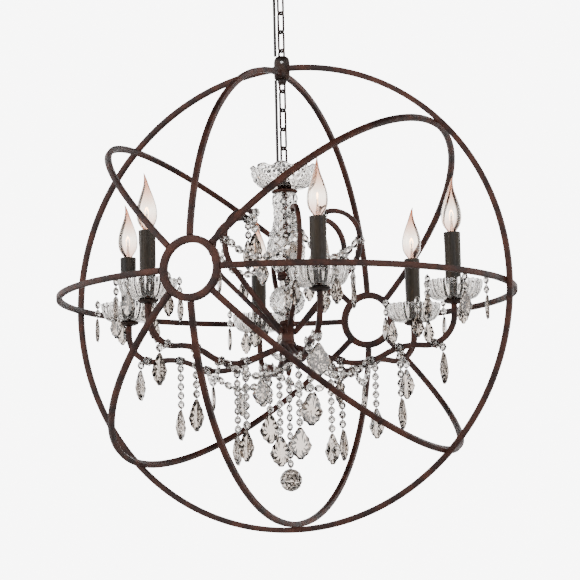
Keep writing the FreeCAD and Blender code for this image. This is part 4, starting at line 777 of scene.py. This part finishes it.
dish_rows = [
    (0.0160, 0.0, 0.0), (0.0300, 0.05, 0.3), (0.0375, 0.16, 0.9), (0.0425, 0.34, 1.0),
    (0.0458, 0.58, 1.0), (0.0472, 0.80, 1.0), (0.0474, 0.92, 1.0), (0.0472, 1.0, 1.0),
]
DISH_WALL = 0.0034
dish = glass_cup("candle_dishes", dish_rows, DISH_WALL, 192, flutes(24, 0.034), 0.035, 24)
piece("candle_dishes_glass", at_candles(dish), "chandelier", clear_glass, ["candle_dishes"])

low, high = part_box("candle_sleeves")
OUT, IN = 0.0133, 0.0117
RUN_LEAST, RUN_MORE, RIDGE = 0.014, 0.050, 0.060
sleeve_rows = [(OUT, low.z)]
sleeve_rows += [(OUT, height) for height in np.linspace(high.z - 0.070, high.z - 0.008, 22)]
sleeve_rows += [(OUT * 1.01, high.z - 0.005), (OUT * 1.02, high.z - 0.002), (OUT * 1.005, high.z - 0.0003)]
sleeve_rows += [(IN * 1.04, high.z), (IN, high.z - 0.002), (IN, low.z)]
points, faces = turned(sleeve_rows, 96, closed=True)
turn = np.arctan2(points[:, 1], points[:, 0])
ridges = np.clip(np.sin(7 * turn + 1.5 * np.sin(2 * turn)), 0, 1)
runs_down = RUN_LEAST + RUN_MORE * (0.5 + 0.5 * np.sin(3 * turn + 1.0)) * ridges
wet = np.clip((points[:, 2] - (high.z - runs_down)) / 0.005, 0, 1)
outer = np.hypot(points[:, 0], points[:, 1]) > 0.5 * (OUT + IN)
swell = 1 + RIDGE * np.where(outer, ridges * wet, 0)
points = points * np.stack([swell, swell, np.ones_like(swell)], axis=1)
sleeves = at_candles((points, faces))
piece("candle_sleeves_wax", sleeves, "chandelier", sleeve_black, ["candle_sleeves"])


# %% Bulbs
BULB_RADIUS, BULB_WALL, TIP_LEAN = 0.017, 0.0007, 0.005


def bulb_surface(inset):
    """Rings of the flame glass: (share of the length, width, lean to one side), drawn in by `inset`."""
    rows = [
        (0.0, 0.40, 0), (0.03, 0.50, 0), (0.08, 0.70, 0), (0.15, 0.90, 0), (0.23, 0.99, 0), (0.32, 1.0, 0),
        (0.42, 0.93, 0), (0.52, 0.78, 0), (0.62, 0.60, 0.02), (0.72, 0.40, 0.07), (0.80, 0.27, 0.16),
        (0.87, 0.18, 0.32), (0.93, 0.11, 0.56), (0.97, 0.07, 0.78), (1.0, 0.03, 1.0),
    ]
    share, width, lean = flowing(rows, 2).T
    turn = np.linspace(0, 2 * np.pi, 40, endpoint=False)
    radius = np.maximum(BULB_RADIUS * width - inset, 0.0002)[:, None]
    height = SLEEVE_TOP + 0.0004 + inset + (BULB_TIP - SLEEVE_TOP - 0.0006 - 2 * inset) * share
    x = radius * np.cos(turn) + TIP_LEAN * lean[:, None]
    return np.stack([x, radius * np.sin(turn), height[:, None] + 0 * turn], axis=-1)


outside, inside = shell(bulb_surface(0.0)), shell(bulb_surface(BULB_WALL))
glass_bulb = together([outside, (inside[0], [face[::-1] for face in inside[1]])])
cap_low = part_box("bulb_1")[0].z
cap_rows = [(0.0002, cap_low), (0.0024, cap_low), (0.0056, cap_low + 0.004), (0.0059, cap_low + 0.006)]
cap = turned(cap_rows + [(0.0059, SLEEVE_TOP)], 32)
stem_rows = [(0.0034, 0.0011), (0.0028, 0.010), (0.0014, 0.022), (0.0010, 0.027), (0.0002, 0.028)]
stem = turned([(r, SLEEVE_TOP + z) for r, z in stem_rows], 24)
COIL_HALF, COIL_RADIUS, COIL_TURNS = 0.0036, 0.0010, 9
COIL_FOOT, COIL_ARCH = 0.030, 0.007
u = np.linspace(-1, 1, 72)
wound = COIL_TURNS * np.pi * u
coil_path = np.stack([COIL_HALF * u, COIL_RADIUS * np.cos(wound), COIL_RADIUS * np.sin(wound)], axis=1)
coil_path[:, 2] += SLEEVE_TOP + COIL_FOOT + COIL_ARCH * (1 - u**2)
coil = carried(coil_path, round_section(0.0005, 6), (0, 0.3, 1))
legs = []
for x in (-0.0026, 0.0026):
    leg_path = [(x, 0, SLEEVE_TOP + 0.020), (x * 1.4, 0, SLEEVE_TOP + 0.0305)]
    legs.append(carried(leg_path, round_section(0.0003, 6), (0, 1, 0)))
for n, (bearing, centre) in enumerate(zip(bearings, candles), 1):
    body = f"bulb_{n}"
    glass, metal, inner, glowing = (
        turned_about(part, bearing, (*centre, 0)) for part in (glass_bulb, cap, stem, together([coil, *legs]))
    )
    piece(f"{body}_glass", glass, body, amber_glass, [body])
    piece(f"{body}_cap", metal, body, brass)
    piece(f"{body}_stem", inner, body, clear_glass)
    piece(f"{body}_coil", glowing, body, filament)

# %% [markdown]
# ## Cut crystal
# A strand is a line of octagon beads on a wire, with a pendant at its end. Crystal is flat facets
# that meet in crisp edges, so it is shaded flat. The pendant is a scalloped leaf: one outline, drawn
# smaller towards a flat back and towards a raised front. Copies share the same few dozen faces.


# %% Beads and pendants
def facets(rings):
    """Closed form through rings of points, all with the same count, ends capped."""
    return shell(np.array(rings))


def moved(part, offset):
    """The part carried by an offset."""
    return part[0] + np.asarray(offset, float), part[1]


def cut_bead(radius, length, sides=8):
    """A bead hung from z = 0 downward: tip, shoulder, girdle, shoulder, tip; shoulders turn half a side."""
    rings = []
    steps = [(1.0, 0.14), (0.84, 0.66), (0.60, 1.0), (0.40, 1.0), (0.16, 0.66), (0, 0.14)]
    for n, (share, width) in enumerate(steps):
        turn = np.linspace(0, 2 * np.pi, sides, endpoint=False) + np.pi / sides * (n in (1, 4))
        height = np.full(sides, -length * share)
        rings.append(np.stack([width * radius * np.cos(turn), width * radius * np.sin(turn), height], axis=1))
    return facets(rings)


LEAF_EDGE = [
    (0.07, 0.01), (0.20, 0.14), (0.25, 0.23), (0.38, 0.33), (0.40, 0.43), (0.50, 0.55),
    (0.44, 0.66), (0.37, 0.73), (0.33, 0.82), (0.19, 0.88), (0.10, 0.97),
]
FACE_EDGE, LEAF_MIDDLE, LEAF_NOTCH = 0.74, 0.54, 0.16
LEAF_RINGS = [(0.30, -0.50), (0.86, -0.50), (1.0, -0.10), (1.0, 0.04), (FACE_EDGE, 0.32)]
LEAF_RINGS += [(0.40, 0.42), (0.06, 0.50)]


def pendant(width, height, depth):
    """A scalloped leaf hung from z = 0: rings (scale, place across Y) of one outline about its middle."""
    right = np.array(LEAF_EDGE)
    outline = np.concatenate([right, right[::-1] * [-1, 1]])
    x, z = outline[:, 0] * width, -outline[:, 1] * height
    middle = -LEAF_MIDDLE * height
    rings = []
    for scale, lift in LEAF_RINGS:
        pull = scale * (1 - LEAF_NOTCH * (scale == FACE_EDGE) * (np.arange(len(x)) % 2))
        y = np.full_like(x, lift * depth)
        rings.append(np.stack([pull * x, y, middle + pull * (z - middle)], axis=1))
    return facets(rings)


def rosette(radius, depth, petals=8):
    """A flower-cut disc facing along Y from y = 0: a table, petals and a flat back."""
    turn = np.linspace(0, 2 * np.pi, 2 * petals, endpoint=False)
    rings = []
    steps = [(0.15, 0.0, 0), (0.92, 0.0, 0.10), (1.0, 0.3, 0.14), (0.70, 0.75, 0.10), (0.30, 1.0, 0)]
    for width, out, notch in steps + [(0.05, 0.9, 0)]:
        r = radius * width * (1 - notch * (np.arange(2 * petals) % 2))
        y = np.full(2 * petals, depth * out)
        rings.append(np.stack([r * np.cos(turn), y, -r * np.sin(turn)], axis=1))
    return facets(rings)


BEAD, BEAD_LENGTH, WIRE_HALF = 0.0065, 0.0155, 0.0004
PITCH_OF_BEADS = BEAD_LENGTH + SEAT
LEAF = (0.040, 0.056, 0.009)
PETAL = (0.024, 0.044, 0.007)


def strung(top, beads, radius=BEAD, leaf=LEAF):
    """Beads from `top` down, the pendant under them and the wire through them."""
    row = [moved(cut_bead(radius, BEAD_LENGTH), (0, 0, top - n * PITCH_OF_BEADS)) for n in range(beads)]
    foot = top - beads * PITCH_OF_BEADS
    wire = turned([(WIRE_HALF, foot - 0.003), (WIRE_HALF, top + 0.001)], 6)
    return together(row), moved(pendant(*leaf), (0, 0, foot)), wire


def facing_out(part, radius, bearing):
    """The part drawn on the Z axis, its flat face turned outward, at this distance and bearing."""
    angle = np.radians(bearing)
    return turned_about(part, bearing + 90, (radius * np.cos(angle), radius * np.sin(angle), 0))


def hang(name, node, parts, body="chandelier"):
    """Makes the beads, pendants and wires of one node's strands."""
    beads, leaves, wires = (together(list(kind)) for kind in zip(*parts))
    piece(f"{name}_beads", beads, body, crystal, [node], smooth=False)
    piece(f"{name}_pendants", leaves, body, smoky_crystal, smooth=False)
    piece(f"{name}_wires", wires, body, chain_steel)


# %% Strands under the arms and scroll tips
LONG_AT, MIDDLE_AT = 0.095, 0.200
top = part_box("long_strand_1")[1].z
for n, bearing in enumerate(bearings, 1):
    strand = [facing_out(part, LONG_AT, bearing) for part in strung(top, 7)]
    hang(f"long_strand_{n}", f"long_strand_{n}", [strand], f"long_strand_{n}")
for name, node, radius, beads in (
    ("middle_strand", "middle_strands", MIDDLE_AT, 5),
    ("outer_strand", "outer_strands", REACH - 0.022, 1),
    ("scroll_strand", "scroll_strands", scroll_path[-1][0] + SCROLL_BAR / 4, 2),
):
    parts = strung(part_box(node)[1].z, beads)
    hang(name, node, [[facing_out(part, radius, b) for part in parts] for b in bearings])

# %% [markdown]
# ## Dish pendants, bottom strand and rosettes
# Five small pendants hang round each dish on two beads. Under the finial hangs a strand with a cut
# ball: rings of facets, each ring turned against the last. Rosettes hide the pins on arms and scrolls.

# %% Dish pendants
RIM_BEAD, DISH_RADIUS = 0.005, 0.0495
RIM_DROPS, RIM_TURN = 5, 18
rim_radius = DISH_RADIUS + SEAT + RIM_BEAD
parts = strung(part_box("rim_crystals")[1].z, 2, RIM_BEAD, PETAL)
drops = []
for bearing, centre in zip(bearings, candles):
    for n in range(RIM_DROPS):
        hung = [facing_out(part, rim_radius, 360 / RIM_DROPS * n + RIM_TURN) for part in parts]
        drops.append([turned_about(part, bearing, (*centre, 0)) for part in hung])
hang("rim", "rim_crystals", drops)

# %% Bottom strand
low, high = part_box("bottom_strand")
BALL = 0.0195
count = round((high.z - low.z - 2 * BALL) / PITCH_OF_BEADS)
row = [moved(cut_bead(BEAD * 0.9, BEAD_LENGTH), (0, 0, high.z - n * PITCH_OF_BEADS)) for n in range(count)]
middle = high.z - count * PITCH_OF_BEADS - BALL
rings = []
for k, latitude in enumerate(np.radians([-84, -60, -36, -12, 12, 36, 60, 84])):
    turn = np.linspace(0, 2 * np.pi, 12, endpoint=False) + np.pi / 12 * k
    width, height = BALL * np.cos(latitude), middle + BALL * np.sin(latitude)
    rings.append(np.stack([width * np.cos(turn), width * np.sin(turn), np.full(12, height)], axis=1))
beads = together(row)
piece("bottom_strand_beads", beads, "bottom_strand", crystal, ["bottom_strand"], smooth=False)
piece("bottom_strand_ball", facets(rings), "bottom_strand", smoky_crystal, smooth=False)
wire = turned([(WIRE_HALF, middle), (WIRE_HALF, high.z)], 6)
piece("bottom_strand_wire", wire, "bottom_strand", chain_steel)

# %% Rosettes
flower = rosette(0.0085, 0.0045)
mirrored = (flower[0] * [1, -1, 1], [face[::-1] for face in flower[1]])
flowers = []
LOW_REACH, RISE_AT = 0.150, 0.262
pins = (LONG_AT, LOW_REACH, MIDDLE_AT, RISE_AT)
on_arm = [(r, np.interp(r, arm_path[:, 0], arm_path[:, 2])) for r in pins]
on_scroll = [(SCROLL_REACH, belly_height), (scroll_path[-1][0] + 0.002, scroll_path[-1][2])]
for bar, places in ((ARM_BAR, on_arm), (SCROLL_BAR, on_scroll)):
    for x, z in places:
        flowers.append(moved(flower, (x, bar / 2 + SEAT, z)))
        flowers.append(moved(mirrored, (x, -bar / 2 - SEAT, z)))
piece("rosettes", round_column(together(flowers)), "chandelier", crystal, smooth=False)


# %% [markdown]
# ## Garlands
# Between neighbouring arms, and between neighbouring scrolls, octagon beads hang in a string. A light
# string takes nearly a parabola: z = h - s (1 - u^2) for u from -1 to 1. The ends of the beads are
# even steps along that curve. A rope simulation would settle to nearly the same, only more slowly.
# A small pendant hangs from the middle of each string.


# %% Garlands
HALF_WIDTH, HALF_DEPTH = 0.0066, 0.0038


def octagon_bead(a, b, half_width, half_depth, sides=8):
    """A flat octagon from a to b: rings across the string, wide upright and thin sideways."""
    along = (b - a) / np.linalg.norm(b - a)
    across = np.cross(along, [0, 0, 1])
    across /= np.linalg.norm(across)
    other = np.cross(along, across)
    turn = np.linspace(0, 2 * np.pi, sides, endpoint=False)
    ring = half_depth * np.cos(turn)[:, None] * across + half_width * np.sin(turn)[:, None] * other
    rings = []
    for share, width in ((0.0, 0.2), (0.06, 0.55), (0.30, 1.0), (0.70, 1.0), (0.94, 0.55), (1.0, 0.2)):
        rings.append(a + (b - a) * (0.01 + 0.98 * share) + width * ring)
    return facets(rings)


def slung_string(reach, height, bar, sag, step):
    """Octagon beads in even steps along a parabola between two bars at `reach`."""
    half_turn = np.pi / ARMS
    half_span = reach * np.sin(half_turn) - (bar / 2 + SEAT) / np.cos(half_turn)
    u = np.linspace(-1, 1, 401)
    across = np.full_like(u, reach * np.cos(half_turn))
    curve = np.stack([across, half_span * u, height - sag * (1 - u**2)], axis=1)
    walked = np.concatenate([[0], np.cumsum(np.linalg.norm(np.diff(curve, axis=0), axis=1))])
    marks = np.linspace(0, walked[-1], max(1, round(walked[-1] / step)) + 1)
    ends = np.stack([np.interp(marks, walked, curve[:, axis]) for axis in range(3)], axis=1)
    return [octagon_bead(a, b, HALF_WIDTH, HALF_DEPTH) for a, b in zip(ends, ends[1:])]


LOW_SAG, HIGH_SAG = 0.030, 0.035
STEP, BELOW_BEAD = 0.0185, 0.0045
string_height = np.interp(LOW_REACH, arm_path[:, 0], arm_path[:, 2])
strings = slung_string(LOW_REACH, string_height, ARM_BAR, LOW_SAG, STEP)
strings += slung_string(SCROLL_REACH, belly_height, SCROLL_BAR, HIGH_SAG, STEP)
garlands = together([turned_about(together(strings), b + 30) for b in bearings])
piece("garlands_beads", garlands, "chandelier", crystal, ["garlands"], smooth=False)
drops = []
for reach, height in (
    (LOW_REACH, string_height - LOW_SAG - BELOW_BEAD),
    (SCROLL_REACH, belly_height - HIGH_SAG - BELOW_BEAD),
):
    part = moved(pendant(*PETAL), (0, 0, height))
    drops += [facing_out(part, reach * np.cos(np.pi / ARMS), b + 30) for b in bearings]
piece("garland_pendants", together(drops), "chandelier", smoky_crystal, smooth=False)

# %% [markdown]
# ## Last update
# The view layer is brought up to date once more. The dressed part may not outgrow its solids.

# %% Update the view layer
bpy.context.view_layer.update()
